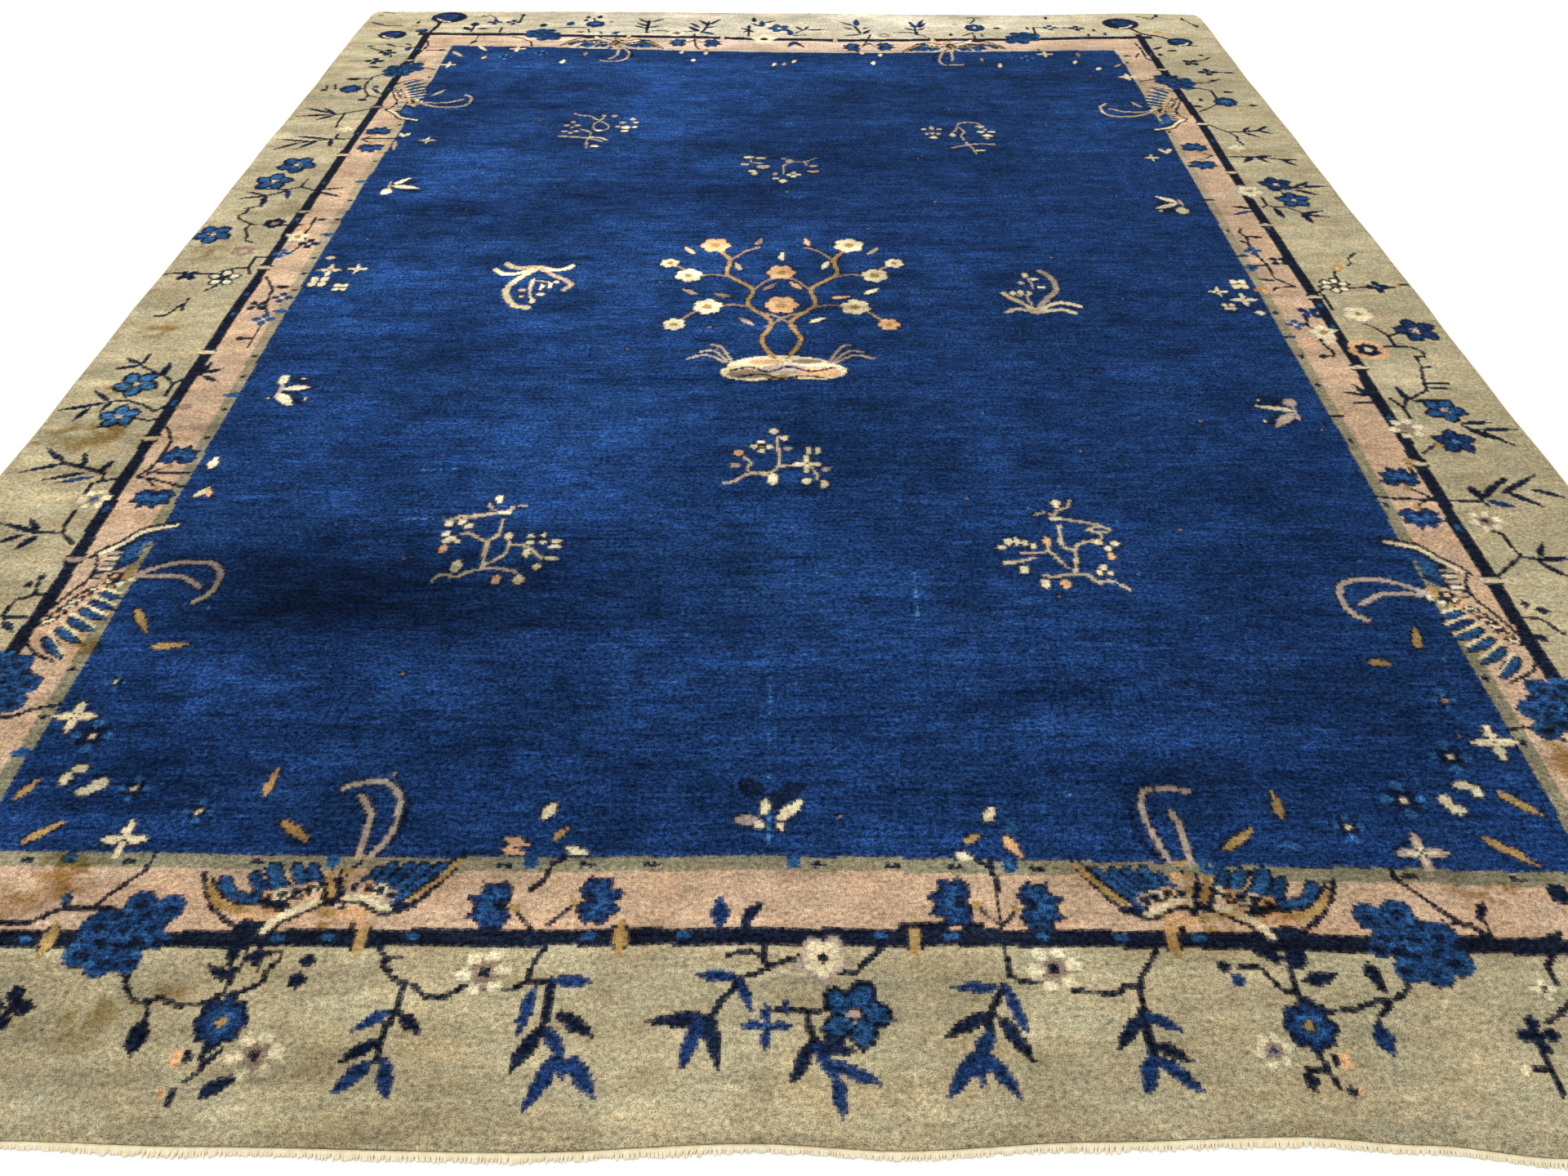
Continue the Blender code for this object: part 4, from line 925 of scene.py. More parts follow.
# Their petals, leaves and buds, by yarn. Columns: x, d, width, depth.
sprayLobes = {
    "cream": [
        (-477, 1071, 13, 22), (-550, 1003, 14, 15), (-530, 1008, 14, 13), (-516, 999, 12, 13),
        (-549, 977, 15, 13), (-537, 966, 13, 15),
        (-527, 959, 12, 10), (-545, 960, 13, 12), (-516, 898, 16, 32), (-411, 866, 16, 22),
        (-387, 975, 8, 16), (-408, 972, 14, 9),
        (-364, 961, 20, 8), (-367, 946, 20, 8), (-408, 957, 16, 8), (-387, 957, 10, 9), (-409, 930, 11, 20),
        (-367, 917, 22, 9),
        (-387, 897, 10, 15), (-445, 972, 11, 22), (-463, 1034, 24, 11), (469, 1062, 14, 22),
        (462, 1021, 22, 11), (522, 960, 14, 12),
        (549, 957, 16, 12), (536, 944, 12, 14), (375, 961, 11, 18), (389, 962, 11, 18), (402, 957, 12, 14),
        (364, 948, 14, 11),
        (415, 951, 10, 14), (368, 909, 18, 11), (392, 893, 13, 19), (420, 860, 14, 20), (519, 899, 12, 13),
        (511, 885, 12, 12),
        (527, 884, 12, 12), (-11, 1270, 15, 15), (8, 1249, 14, 15), (-33, 1237, 12, 12), (-33, 1209, 12, 12),
        (-47, 1223, 12, 12),
        (-19, 1223, 12, 12), (-12, 1128, 17, 38), (47, 1186, 11, 20), (47, 1157, 11, 20), (33, 1171, 20, 11),
        (62, 1171, 20, 11),
        (51, 1211, 10, 22), (67, 1211, 10, 22), (47, 1122, 15, 20), (77, 1114, 14, 20), (-403, 2687, 14, 12),
        (-427, 2684, 24, 20),
        (-427, 2660, 20, 13), (-497, 2664, 20, 11), (-497, 2559, 21, 12), (454, 2634, 15, 22),
        (401, 2619, 20, 17), (381, 2675, 15, 12),
        (421, 2675, 15, 11), (561, 2657, 20, 11), (531, 2657, 20, 11), (547, 2632, 26, 18),
        (517, 2534, 26, 9), (-90, 2489, 26, 14),
        (-57, 2484, 27, 14), (-77, 2403, 23, 12), (-71, 2388, 15, 16), (27, 2394, 12, 14),
        (16, 2383, 13, 11), (38, 2383, 13, 11),
        (27, 2373, 12, 13), (0, 2345, 20, 20), (-17, 2360, 16, 11), (-490, 1827, 14, 10),
        (-517, 1774, 20, 13), (-530, 1745, 12, 20),
        (-520, 1806, 8, 26), (-502, 1812, 8, 28), (497, 1781, 12, 20), (514, 1785, 11, 22),
        (531, 1782, 9, 22), (534, 1861, 14, 21),
        (551, 1844, 22, 9), (561, 1809, 17, 11),
        (-962, 1439, 20, 31), (-976, 2281, 26, 34), (958, 2183, 28, 36), (-22, 400, 12, 11),
        (6, 398, 10, 13), (-15, 427, 11, 27),
        (-925, 1443, 6, 6), (-972, 1374, 7, 7), (-900, 1372, 6, 6), (905, 1376, 6, 6), (896, 1306, 7, 7),
        (908, 2182, 8, 10),
    ],
    "plume": [
        (-79, 1166, 20, 13), (14, 1217, 15, 11), (81, 1156, 19, 11), (-575, 2721, 13, 18),
        (-588, 2697, 17, 11), (-560, 2697, 17, 11),
        (-573, 2682, 12, 14), (-590, 2657, 16, 11), (-557, 2657, 16, 11), (-573, 2646, 12, 16),
        (-495, 2765, 11, 19), (-467, 2765, 15, 17),
        (-413, 2741, 15, 18), (-403, 2717, 14, 13), (-440, 2717, 17, 13), (-449, 2689, 15, 12),
        (401, 2682, 14, 24), (401, 2647, 14, 16),
        (386, 2644, 12, 12), (417, 2644, 13, 12), (534, 2693, 24, 18), (545, 2671, 12, 14),
        (544, 2614, 12, 13), (-97, 2445, 22, 12),
        (-50, 2430, 32, 20), (17, 2465, 20, 22), (2, 2481, 12, 11), (77, 2435, 25, 11), (-20, 2388, 13, 15),
        (-560, 1791, 17, 12),
        (521, 1827, 18, 11), (511, 1771, 14, 9), (961, 1366, 24, 28), (-39, 407, 30, 14),
    ],
    "peach": [
        (-547, 940, 13, 20), (-447, 865, 15, 21), (537, 925, 12, 18), (439, 962, 11, 22), (452, 860, 14, 20),
        (-74, 1203, 21, 16),
        (77, 2403, 30, 13), (-557, 1764, 13, 11), (-460, 1814, 9, 18), (485, 1766, 9, 12),
    ],
}
# Fallen sprigs beside the border: leaves and stalks. Columns: root x, root d, tip x, tip d, width, yarn.
fallenSprigs = [
    (-950, 1402, -903, 1357, 30, "shade"), (-946, 1445, -912, 1424, 28, "shade"),
    (-936, 1400, -890, 1420, 26, "shade"), (-955, 2334, -905, 2346, 30, "shade"),
    (-945, 2294, -893, 2280, 26, "shade"), (946, 1372, 900, 1382, 26, "shade"),
    (940, 1320, 898, 1296, 30, "shade"), (944, 2232, 902, 2214, 28, "shade"),
    (945, 2190, 905, 2176, 28, "shade"), (-20, 448, -48, 470, 30, "shade"), (10, 446, 34, 468, 28, "shade"),
    (-18, 430, 20, 452, 26, "shade"), (-951, 1406, -906, 1413, 17, "cream"),
    (-956, 1388, -923, 1353, 20, "cream"), (-967, 2322, -937, 2358, 15, "cream"),
    (-967, 2313, -903, 2299, 19, "cream"), (958, 1341, 896, 1355, 13, "cream"),
    (958, 1332, 913, 1289, 20, "plume"), (955, 2229, 914, 2259, 16, "cream"),
    (952, 2218, 900, 2194, 16, "cream"), (2, 408, 33, 438, 15, "cream"),
    (-959, 1426, -958, 1378, 7, "plume"), (-979, 2338, -974, 2296, 7, "plume"),
    (963, 1356, 961, 1312, 7, "plume"), (964, 2240, 966, 2206, 7, "plume"),
]


def paired(run):
    # a run of x, d, x, d as points
    return list(zip(run[::2], run[1::2]))


def drawBlossom(kind, x, d, radius, yarn, heart):
    if kind == "star":
        star(x, d, radius, 5, yarn, heart)
    elif kind == "cross":
        cross(x, d, radius, yarn, heart)
    elif kind == "folded":
        petals(x, d, radius, 5, "plume", turn=54)
        petals(x, d, radius * 0.78, 5, yarn, heart, turn=54, share=0.28)
    elif kind == "loose":
        looseCross(x, d, radius, yarn, heart)
    elif kind == "pinwheel":
        pinwheel(x, d, radius, yarn, heart)
    elif kind in ("four", "turned"):
        spreadPetals(x, d, radius, 4, yarn, heart, 90 if kind == "four" else 45)
    else:
        petals(x, d, radius, 6, yarn, heart)


def drawBorder():
    for run in borderVines:
        stroke(paired(run), "navy")
    for row in peonies:
        peony(*row)
    for row in halfFlowers:
        halfFlower(*row)
    for points in boughs:
        stroke(points, "navy", 10.5)
    for row in bamboos:
        bamboo(*row)
    for x0, d0, x1, d1, wide, *yarn in borderLeaves:
        leaf(x0, d0, x1, d1, *(yarn or ["leafNavy"]), wide)
    for row in borderBlossoms:
        drawBlossom(*row)
    for row in creamFlowers:
        creamFlower(*row)
    for row in roundFlowers:
        roundFlower(*row)
    for row in ringFlowers:
        ringFlower(*row)
    petals(1177, 1555, 38, 7, "peach")
    petals(1177, 1555, 24, 6, "leafNavy", "cream")
    curledLeaf(-1100, 3600, -1)
    curledLeaf(-1245, 3430, -1, 90)
    curledLeaf(1090, 3545, 1)
    curledLeaf(1240, 3370, 1, 82)
    curve([(-1120, 3560), (-1122, 3500), (-1134, 3440)], "navy", 14)
    curve([(1112, 3500), (1140, 3445), (1180, 3425), (1210, 3400)], "navy", 12)
    for x, d, wide, deep, yarn in dabs:
        blob(x, d, wide, deep, yarn)
    for row in endBirds:
        bird(*row)
    for row in sideBirds:
        sideBird(*row)


def rockAndBranches():
    # the middle of the field: a rock and two flowering branches, of this script's own design
    for x, d, wide, deep, yarn in [(0, 1490, 210, 78, "cream"), (-58, 1468, 120, 58, "cream"),
                                   (66, 1474, 128, 64, "cream"),
                                   (-64, 1462, 84, 32, "taupe"), (10, 1478, 96, 36, "plume"),
                                   (76, 1470, 84, 34, "peach"),
                                   (-30, 1505, 70, 18, "peach"), (52, 1508, 66, 16, "taupe"),
                                   (0, 1450, 60, 14, "ochre")]:
        blob(x, d, wide, deep, yarn)
    for points in [[(-100, 1474), (-60, 1486), (-24, 1470), (16, 1488), (60, 1472), (104, 1486)],
                   [(-84, 1450), (-40, 1462), (0, 1446), (44, 1456), (84, 1448)]]:
        curve(points, "shade", 6)
    for s in (-1, 1):
        curve([(s * 14, 1520), (s * 40, 1590), (s * 20, 1660), (s * 70, 1730), (s * 64, 1800),
               (s * 120, 1862),
               (s * 116, 1930), (s * 150, 1985)], "ochre", 9)
        for root, tip in [((30, 1640), (-48, 1700)), ((66, 1720), (150, 1716)), ((64, 1790), (0, 1856)),
                          ((110, 1850), (196, 1850)), ((116, 1925), (52, 1990)), ((150, 1716), (214, 1660)),
                          ((196, 1850), (246, 1905))]:
            middle = ((root[0] + tip[0]) / 2, (root[1] + tip[1]) / 2 + 12)
            curve([(s * x, d) for x, d in (root, middle, tip)], "taupe", 6.4)
    flowers = [(0, 1730, 34), (-156, 1722, 30), (156, 1722, 30), (-2, 1872, 30), (-204, 1858, 28),
               (204, 1858, 28),
               (-152, 2000, 32), (152, 2000, 32), (-222, 1650, 22), (222, 1650, 22), (-250, 1915, 20),
               (250, 1915, 20)]
    for k, (x, d, radius) in enumerate(flowers):
        petals(x, d, radius, 6, "cream" if k % 3 else "peach", "ochre", turn=60 + 20 * k)
    for k, (x, d,
            turn) in enumerate([(60, 1660, 0.5), (-60, 1650, 2.4), (110, 1760, 0.2), (-112, 1766, 2.8),
                                (90, 1890, 1.2),
                                      (-92, 1884, 1.9), (40, 1800, 2.2), (-38, 1796, 0.8), (180, 1780, 0.6),
                                      (-184, 1776, 2.5),
                                      (60, 2000, 1.8), (-58, 2004, 1.2), (0, 1930, 1.57), (196, 1960, 0.9),
                                      (-200, 1962, 2.2)]):
        leaf(x, d, x + 34 * math.cos(turn), d + 34 * math.sin(turn),
             ("cream", "plume", "peach", "taupe")[k % 4], 13)
    for s in (-1, 1):
        for k in range(3):
            curve([(s * (96 + 8 * k), 1505), (s * (120 + 14 * k), 1560 - 14 * k),
                   (s * (140 + 22 * k), 1570 - 26 * k)],
                  "plume", 6.2)


def drawField():
    for x0, d0, x1, d1, wide, yarn in fieldLeaves + fallenSprigs:
        leaf(x0, d0, x1, d1, yarn, 0.78 * wide if yarn == "ochre" else wide)
    for row in fieldBlossoms:
        drawBlossom(*row)
    for x, d, wide, deep in fallenPetals:
        blob(x, d, wide, deep, "cream")
    for run, wide, yarn in sprayStems:
        curve(paired(run), yarn, wide)
    for yarn, lobes in sprayLobes.items():
        for x, d, wide, deep in lobes:
            blob(x, d, wide, deep, yarn)
    for x, d, hue in ((-447, 1052, "shade"), (450, 1037, "shade"), (-33, 1223, "ochre"), (27, 2383, "taupe")):
        blob(x, d, 7, 7, hue)
    blob(537, 1701, 30, 14, "straw")
    rockAndBranches()


def shadeAround():
    # the dark yarn that keeps pale figures crisp on the blue
    dice = np.random.default_rng(7)
    ground = chart == yarnIndex["field"]
    pale = np.isin(chart, [yarnIndex[name] for name in ("cream", "taupe", "ochre", "peach", "plume", "pink")])
    grown = np.zeros_like(pale)
    for dr in (-1, 0, 1):
        for dc in (-1, 0, 1):
            grown |= np.roll(np.roll(pale, dr, 0), dc, 1)
    chart[grown & ground & (dice.random(chart.shape) < 0.62)] = yarnIndex["shade"]


def repeatCorners():
    # the near corners lie outside the photo, so their outer band repeats the far corners' figures
    grounds = [yarnIndex[name] for name in ("khaki", "rose", "guard", "field", "shade")]
    hidden = (((knotX < -930) | (knotX > 898)) & (knotD < 228)) | ((abs(knotX) > 1215) & (knotD < 830))
    place = hidden & ~np.isin(chart, grounds)[::-1] & (chart == yarnIndex["khaki"])
    chart[place] = chart[::-1][place]


def strayKnots():
    # single knots of another lot of yarn in the field, and the pale lines where the pile is worn
    dice = np.random.default_rng(19)
    for _ in range(260):
        x, d = dice.uniform(-1000, 1000), dice.uniform(370, 3260)
        blob(x, d, 5, 4.4 if dice.random() < 0.6 else 8,
             ("midBlue", "skyBlue", "shade", "midBlue", "taupe")[int(dice.integers(0, 44)) % 9 % 5])
    for x0, d0, x1, d1, share in ((-12, 465, -10, 660, 0.4), (-9, 370, -9, 420, 0.3),
                                  (212, 776, 214, 887, 0.5),
                                  (-686, 1010, -559, 1020, 0.3), (-640, 1150, -560, 1155, 0.3)):
        for t in np.arange(0, 1, 0.02):
            if dice.random() < share:
                blob(x0 + t * (x1 - x0), d0 + t * (d1 - d0), 4.6, 5, "skyBlue" if dice.random() < 0.5
                     else "midBlue")


bands()
strayKnots()
poleJoints()
guardDots()
drawBorder()
repeatCorners()
drawField()
shadeAround()


print("dyeing the yarns")


def linear(hexColour):
    # an sRGB hex colour as linear red, green, blue and alpha
    parts = [int(hexColour[k:k + 2], 16) / 255 for k in (1, 3, 5)]
    return tuple(c / 12.92 if c <= 0.04045 else ((c + 0.055) / 1.055) ** 2.4 for c in parts) + (1.0,)


def addNode(tree, kind, links=None, inputs=None, **settings):
    # one node, its settings, its fixed inputs and the sockets that feed it
    node = tree.nodes.new(kind)
    for name, value in settings.items():
        setattr(node, name, value)
    for key, value in (inputs or {}).items():
        node.inputs[key].default_value = value
    for key, socket in (links or {}).items():
        tree.links.new(socket, node.inputs[key])
    return node


def newMaterial(name):
    material = bpy.data.materials.new(name)
    material.use_nodes = True
    tree = material.node_tree
    tree.nodes.clear()
    return material, tree


def finishMaterial(tree, colour, bump, roughness, specular, sheen, sheenTint):
    shader = addNode(tree, "ShaderNodeBsdfPrincipled", {"Base Color": colour, "Normal": bump},
                     {"Roughness": roughness, "Specular IOR Level": specular, "Sheen Weight": sheen,
                      "Sheen Roughness": 0.45, "Sheen Tint": linear(sheenTint)})
    addNode(tree, "ShaderNodeOutputMaterial", {"Surface": shader.outputs["BSDF"]})


def shaded(tree, colour, socket, low, high, lowest, highest):
    # multiplies a colour by a pattern, with the pattern's span turned into a span of brightness
    span = addNode(tree, "ShaderNodeMapRange", {"Value": socket},
                   {"From Min": low, "From Max": high, "To Min": lowest, "To Max": highest})
    return addNode(tree, "ShaderNodeVectorMath", {0: colour, 1: span.outputs["Result"]},
                   operation="MULTIPLY").outputs[0]


woolSpec = {
    "rowMm": 4.2,            # one row of knots
    "streakMm": 105.0,       # how far a lot of yarn runs along a row
    "dashMm": (8.4, 4.6),    # two knots of one handful of yarn
    "mottleMm": (30.0, 17.0),
    "lotMm": (90.0, 40.0),
    "tuftMm": 4.2,
    "strandMm": (1.8, 1.5),  # cut ends of the pile, a little longer along the row
    "roughness": 0.94,
    "specular": 0.02,
    "sheen": 0.012,
    "reliefMm": 1.2,
}


def stretchedNoise(tree, place, acrossMm, alongMm, detail, roughness=0.6):
    # noise whose grains have these sizes across and along the rug
    scaled = addNode(tree, "ShaderNodeMapping", {"Vector": place},
                     {"Scale": (1000 / acrossMm, 1000 / alongMm, 300.0)})
    return addNode(tree, "ShaderNodeTexNoise", {"Vector": scaled.outputs[0]},
                   {"Scale": 1.0, "Detail": detail, "Roughness": roughness}).outputs["Fac"]


def sheepsWool():
    # Hand-spun wool, sheared level: matt, woolly, streaked along its rows, with a faint sheen, and painted
    # sheen and shade in clouds where it leans.
    material, tree = newMaterial("sheared_wool_pile")
    place = addNode(tree, "ShaderNodeTexCoord").outputs["Object"]
    yarn = addNode(tree, "ShaderNodeAttribute", attribute_name="yarn").outputs["Color"]
    blurred = addNode(tree, "ShaderNodeAttribute", attribute_name="blurredYarn").outputs["Color"]
    # the colour is scaled by clouds of wear, painted sheen and shade, and by the painted glare of the far
    # bands
    light = addNode(tree, "ShaderNodeAttribute", attribute_name="wearSheenAndGlare").outputs["Fac"]
    stain = addNode(tree, "ShaderNodeAttribute", attribute_name="stained").outputs["Fac"]
    tufts = stretchedNoise(tree, place, woolSpec["tuftMm"] * 1.5, woolSpec["tuftMm"] * 1.2, 3.0)
    strands = stretchedNoise(tree, place, *woolSpec["strandMm"], 3.0, 0.7)
    dashes = stretchedNoise(tree, place, *woolSpec["dashMm"], 2.0)
    mottle = stretchedNoise(tree, place, *woolSpec["mottleMm"], 3.0)
    streaks = stretchedNoise(tree, place, woolSpec["streakMm"], woolSpec["rowMm"] * 1.6, 3.0)
    # neighbouring yarns mingle by a strand or two
    fuzz = addNode(tree, "ShaderNodeMapRange", {"Value": tufts},
                   {"From Min": 0.42, "From Max": 0.62, "To Min": 0.08, "To Max": 0.75})
    mingled = addNode(tree, "ShaderNodeMix", {"Factor": fuzz.outputs["Result"], "A": yarn, "B": blurred},
                      data_type="RGBA").outputs["Result"]
    brown = addNode(tree, "ShaderNodeVectorMath", {0: mingled}, {1: linear("#bfab80")[:3]},
                    operation="MULTIPLY")
    tinted = addNode(tree, "ShaderNodeMix", {"Factor": stain, "A": mingled, "B": brown.outputs[0]},
                     data_type="RGBA").outputs["Result"]
    # dark wool shows the lie of its strands more than pale wool does
    variation = None
    for noise, amount in ((mottle, 0.27), (dashes, 0.20), (tufts, 0.62), (strands, 1.0)):
        spread = addNode(tree, "ShaderNodeMapRange", {"Value": noise},
                         {"From Min": 0.3, "From Max": 0.7, "To Min": 1 - amount,
                          "To Max": 1 + amount}).outputs["Result"]
        variation = spread if variation is None else addNode(
            tree, "ShaderNodeMath", {0: spread, 1: variation}, operation="MULTIPLY").outputs[0]
    red = addNode(tree, "ShaderNodeSeparateColor", {"Color": blurred}).outputs["Red"]
    contrast = addNode(tree, "ShaderNodeMapRange", {"Value": red},
                       {"From Min": 0.01, "From Max": 0.25, "To Min": 1.5, "To Max": 0.68})
    variation = addNode(tree, "ShaderNodeMath", {0: variation, 1: contrast.outputs["Result"]},
                        operation="POWER")
    # long lots of one dye run along the rows, and only the blue shows them
    lots = addNode(tree, "ShaderNodeMapRange", {"Value": streaks},
                   {"From Min": 0.3, "From Max": 0.7, "To Min": 0.84, "To Max": 1.16})
    shown = addNode(tree, "ShaderNodeMapRange", {"Value": red},
                    {"From Min": 0.01, "From Max": 0.2, "To Min": 2.6, "To Max": 0.4})
    lots = addNode(tree, "ShaderNodeMath", {0: lots.outputs["Result"], 1: shown.outputs["Result"]},
                   operation="POWER")
    variation = addNode(tree, "ShaderNodeMath", {0: variation.outputs[0], 1: lots.outputs[0]},
                        operation="MULTIPLY")
    # some lots are warmer than others
    lot = stretchedNoise(tree, place, *woolSpec["lotMm"], 4.0)
    lot = addNode(tree, "ShaderNodeMapRange", {"Value": lot},
                  {"From Min": 0.36, "From Max": 0.64}).outputs["Result"]
    warmth = addNode(tree, "ShaderNodeMix", {"Factor": lot},
                     {"A": (0.97, 1.008, 1.02, 1), "B": (1.045, 0.988, 0.935, 1)},
                     data_type="RGBA").outputs["Result"]
    tinted = addNode(tree, "ShaderNodeVectorMath", {0: tinted, 1: warmth}, operation="MULTIPLY").outputs[0]
    colour = shaded(tree, tinted, light, 0.0, 1.0, 0.0, 2.0)
    colour = addNode(tree, "ShaderNodeVectorMath", {0: colour, "Scale": variation.outputs[0]},
                     operation="SCALE").outputs[0]
    relief = addNode(tree, "ShaderNodeMath", {0: tufts, 1: strands}, operation="ADD")
    bump = addNode(tree, "ShaderNodeBump", {"Height": relief.outputs[0]},
                   {"Strength": 0.8, "Distance": woolSpec["reliefMm"] / 1000})
    finishMaterial(tree, colour, bump.outputs[0], woolSpec["roughness"], woolSpec["specular"],
                   woolSpec["sheen"],
                   "#c9cede")
    return material


def groundCotton():
    # Plain-woven cotton ground: its back shows the knots' yarns in flat nubs.
    material, tree = newMaterial("knotted_back_cotton_and_wool")
    place = addNode(tree, "ShaderNodeTexCoord").outputs["Object"]
    yarn = addNode(tree, "ShaderNodeAttribute", attribute_name="yarn").outputs["Color"]
    weave = addNode(tree, "ShaderNodeTexBrick", {"Vector": place},
                    {"Scale": 1000 / 4.2 / 2, "Color1": (1, 1, 1, 1), "Color2": (0.8, 0.8, 0.8, 1),
                     "Mortar": (0.25, 0.25, 0.25, 1), "Mortar Size": 0.05, "Row Height": 0.5,
                     "Brick Width": 1.0})
    nubs = addNode(tree, "ShaderNodeTexNoise", {"Vector": place}, {"Scale": 480.0, "Detail": 3.0})
    colour = addNode(tree, "ShaderNodeVectorMath", {0: yarn, 1: weave.outputs["Color"]},
                     operation="MULTIPLY").outputs[0]
    colour = shaded(tree, colour, nubs.outputs["Fac"], 0.3, 0.7, 0.85, 1.2)
    bump = addNode(tree, "ShaderNodeBump", {"Height": weave.outputs["Color"]},
                   {"Strength": 0.6, "Distance": 0.0008})
    finishMaterial(tree, colour, bump.outputs[0], 0.92, 0.15, 0.05, "#e8dfc8")
    return material


def twistedCotton():
    # Undyed warp cotton, cut short: off-white, greyed where it has been walked on.
    material, tree = newMaterial("cut_cotton_warp")
    place = addNode(tree, "ShaderNodeTexCoord").outputs["Object"]
    twist = addNode(tree, "ShaderNodeTexNoise", {"Vector": place},
                    {"Scale": 900.0, "Detail": 3.0, "Roughness": 0.6})
    patches = addNode(tree, "ShaderNodeTexNoise", {"Vector": place}, {"Scale": 110.0, "Detail": 3.0})
    tone = addNode(tree, "ShaderNodeMix", {"Factor": patches.outputs["Fac"]},
                   {"A": linear("#fffae0"), "B": linear("#e2cb98")}, data_type="RGBA").outputs["Result"]
    colour = shaded(tree, tone, twist.outputs["Fac"], 0.3, 0.7, 0.82, 1.12)
    bump = addNode(tree, "ShaderNodeBump", {"Height": twist.outputs["Fac"]},
                   {"Strength": 0.6, "Distance": 0.0006})
    finishMaterial(tree, colour, bump.outputs[0], 0.9, 0.2, 0.08, "#fff6e0")
    return material


def overcastYarn():
    # Side cord, wrapped with tan yarn: lumpy, and paler on the ridges where it rubs.
    material, tree = newMaterial("overcast_side_yarn")
    place = addNode(tree, "ShaderNodeTexCoord").outputs["Object"]
    fibres = addNode(tree, "ShaderNodeTexNoise", {"Vector": place},
                     {"Scale": 700.0, "Detail": 3.0, "Roughness": 0.6})
    patches = addNode(tree, "ShaderNodeTexNoise", {"Vector": place}, {"Scale": 14.0, "Detail": 3.0})
    tone = addNode(tree, "ShaderNodeMix", {"Factor": patches.outputs["Fac"]},
                   {"A": linear("#cbbd98"), "B": linear("#a08b62")}, data_type="RGBA").outputs["Result"]
    colour = shaded(tree, tone, fibres.outputs["Fac"], 0.3, 0.7, 0.80, 1.15)
    bump = addNode(tree, "ShaderNodeBump", {"Height": fibres.outputs["Fac"]},
                   {"Strength": 0.5, "Distance": 0.0006})
    finishMaterial(tree, colour, bump.outputs[0], 0.92, 0.15, 0.1, "#efe4cc")
    return material


woolMaterial = sheepsWool()
groundMaterial = groundCotton()
cottonMaterial = twistedCotton()
cordMaterial = overcastYarn()


print("raising the pile")
pileSpec = {
    "seed": 5,
    "sideStrayMm": 0.42,             # how far a knot sits off its place
    "heightStrayMm": 0.22,
    "rimDropMm": [3.0, 0.7, 0.15],   # the shorn edge rolls off over two knots
    "wavesMm": 0.35,
    # Clouds by size, of wear and of painted sheen and shade. Columns: size across, size along, how strong.
    "cloudGrain": [(0.42, 0.20, 0.16), (0.17, 0.09, 0.20), (0.085, 0.050, 0.24), (0.045, 0.026, 0.23),
                   (0.60, 0.030, 0.14),
                   (0.25, 0.014, 0.18), (0.11, 0.008, 0.16)],
    # painted glare: the far bands are painted paler
    "farPaintedGlare": (0.24, 1.35, 0.4),  # how much paler the far bands are, from which y, over what reach
    "panelsAcross": 3,               # the pile is one cloth, drawn as panels that each stay a light mesh
    "panelsAlong": 4,
}
# Light and dark clouds of the field: worn and uneven wool, and painted sheen and shade where the nap leans.
# Columns: x, y, half width, half depth, how much lighter.
wearAndSheenClouds = [
    (-0.30, 1.30, 0.42, 0.13, 0.62), (-0.85, 1.34, 0.16, 0.10, 0.38), (0.26, 1.32, 0.13, 0.07, 0.35),
    (-0.35, 0.92, 0.22, 0.20, 0.42), (-0.80, 0.60, 0.22, 0.14, 0.62), (-0.68, 0.84, 0.12, 0.08, 0.25),
    (-0.32, 0.04, 0.34, 0.17, 0.62), (-0.90, -0.10, 0.12, 0.18, 0.35), (-0.28, -0.33, 0.26, 0.22, 0.38),
    (-0.40, -0.66, 0.20, 0.12, 0.36), (-0.66, -0.99, 0.27, 0.105, -1.2), (-0.88, -1.30, 0.14, 0.12, -0.35),
    (-0.42, -1.05, 0.14, 0.06, -0.3), (0.85, -0.92, 0.20, 0.18, -0.45), (0.78, -0.62, 0.26, 0.16, -0.25),
    (0.20, 0.62, 0.26, 0.24, -0.12), (0.90, -1.25, 0.12, 0.16, -0.42), (0.15, -0.58, 0.24, 0.13, -0.20),
    (-0.05, -1.18, 0.36, 0.10, 0.14), (-0.74, 0.33, 0.14, 0.08, -0.15), (-0.95, 1.05, 0.10, 0.12, -0.25),
    (0.45, 1.05, 0.26, 0.10, -0.12), (0.35, 0.20, 0.50, 0.55, -0.09), (0.92, 0.30, 0.32, 1.10, -0.15),
    (0.28, 0.75, 0.28, 0.34, -0.15), (-0.42, -1.43, 0.36, 0.10, -0.26), (0.50, -1.42, 0.48, 0.10, -0.28),
    (0.42, -1.08, 0.36, 0.06, 0.26), (-0.10, 0.12, 0.10, 0.06, 0.25), (-0.85, 0.42, 0.14, 0.07, 0.2),
    (-0.12, 0.57, 0.12, 0.06, -0.28), (-0.88, -0.55, 0.09, 0.20, 0.16), (-0.24, 1.34, 0.18, 0.05, 0.24),
    (0.80, 1.30, 0.20, 0.10, -0.2), (-0.70, -0.77, 0.22, 0.05, 0.22), (-0.88, -1.765, 0.14, 0.03, -0.30),
    (-0.84, -1.72, 0.16, 0.07, -0.24),
]
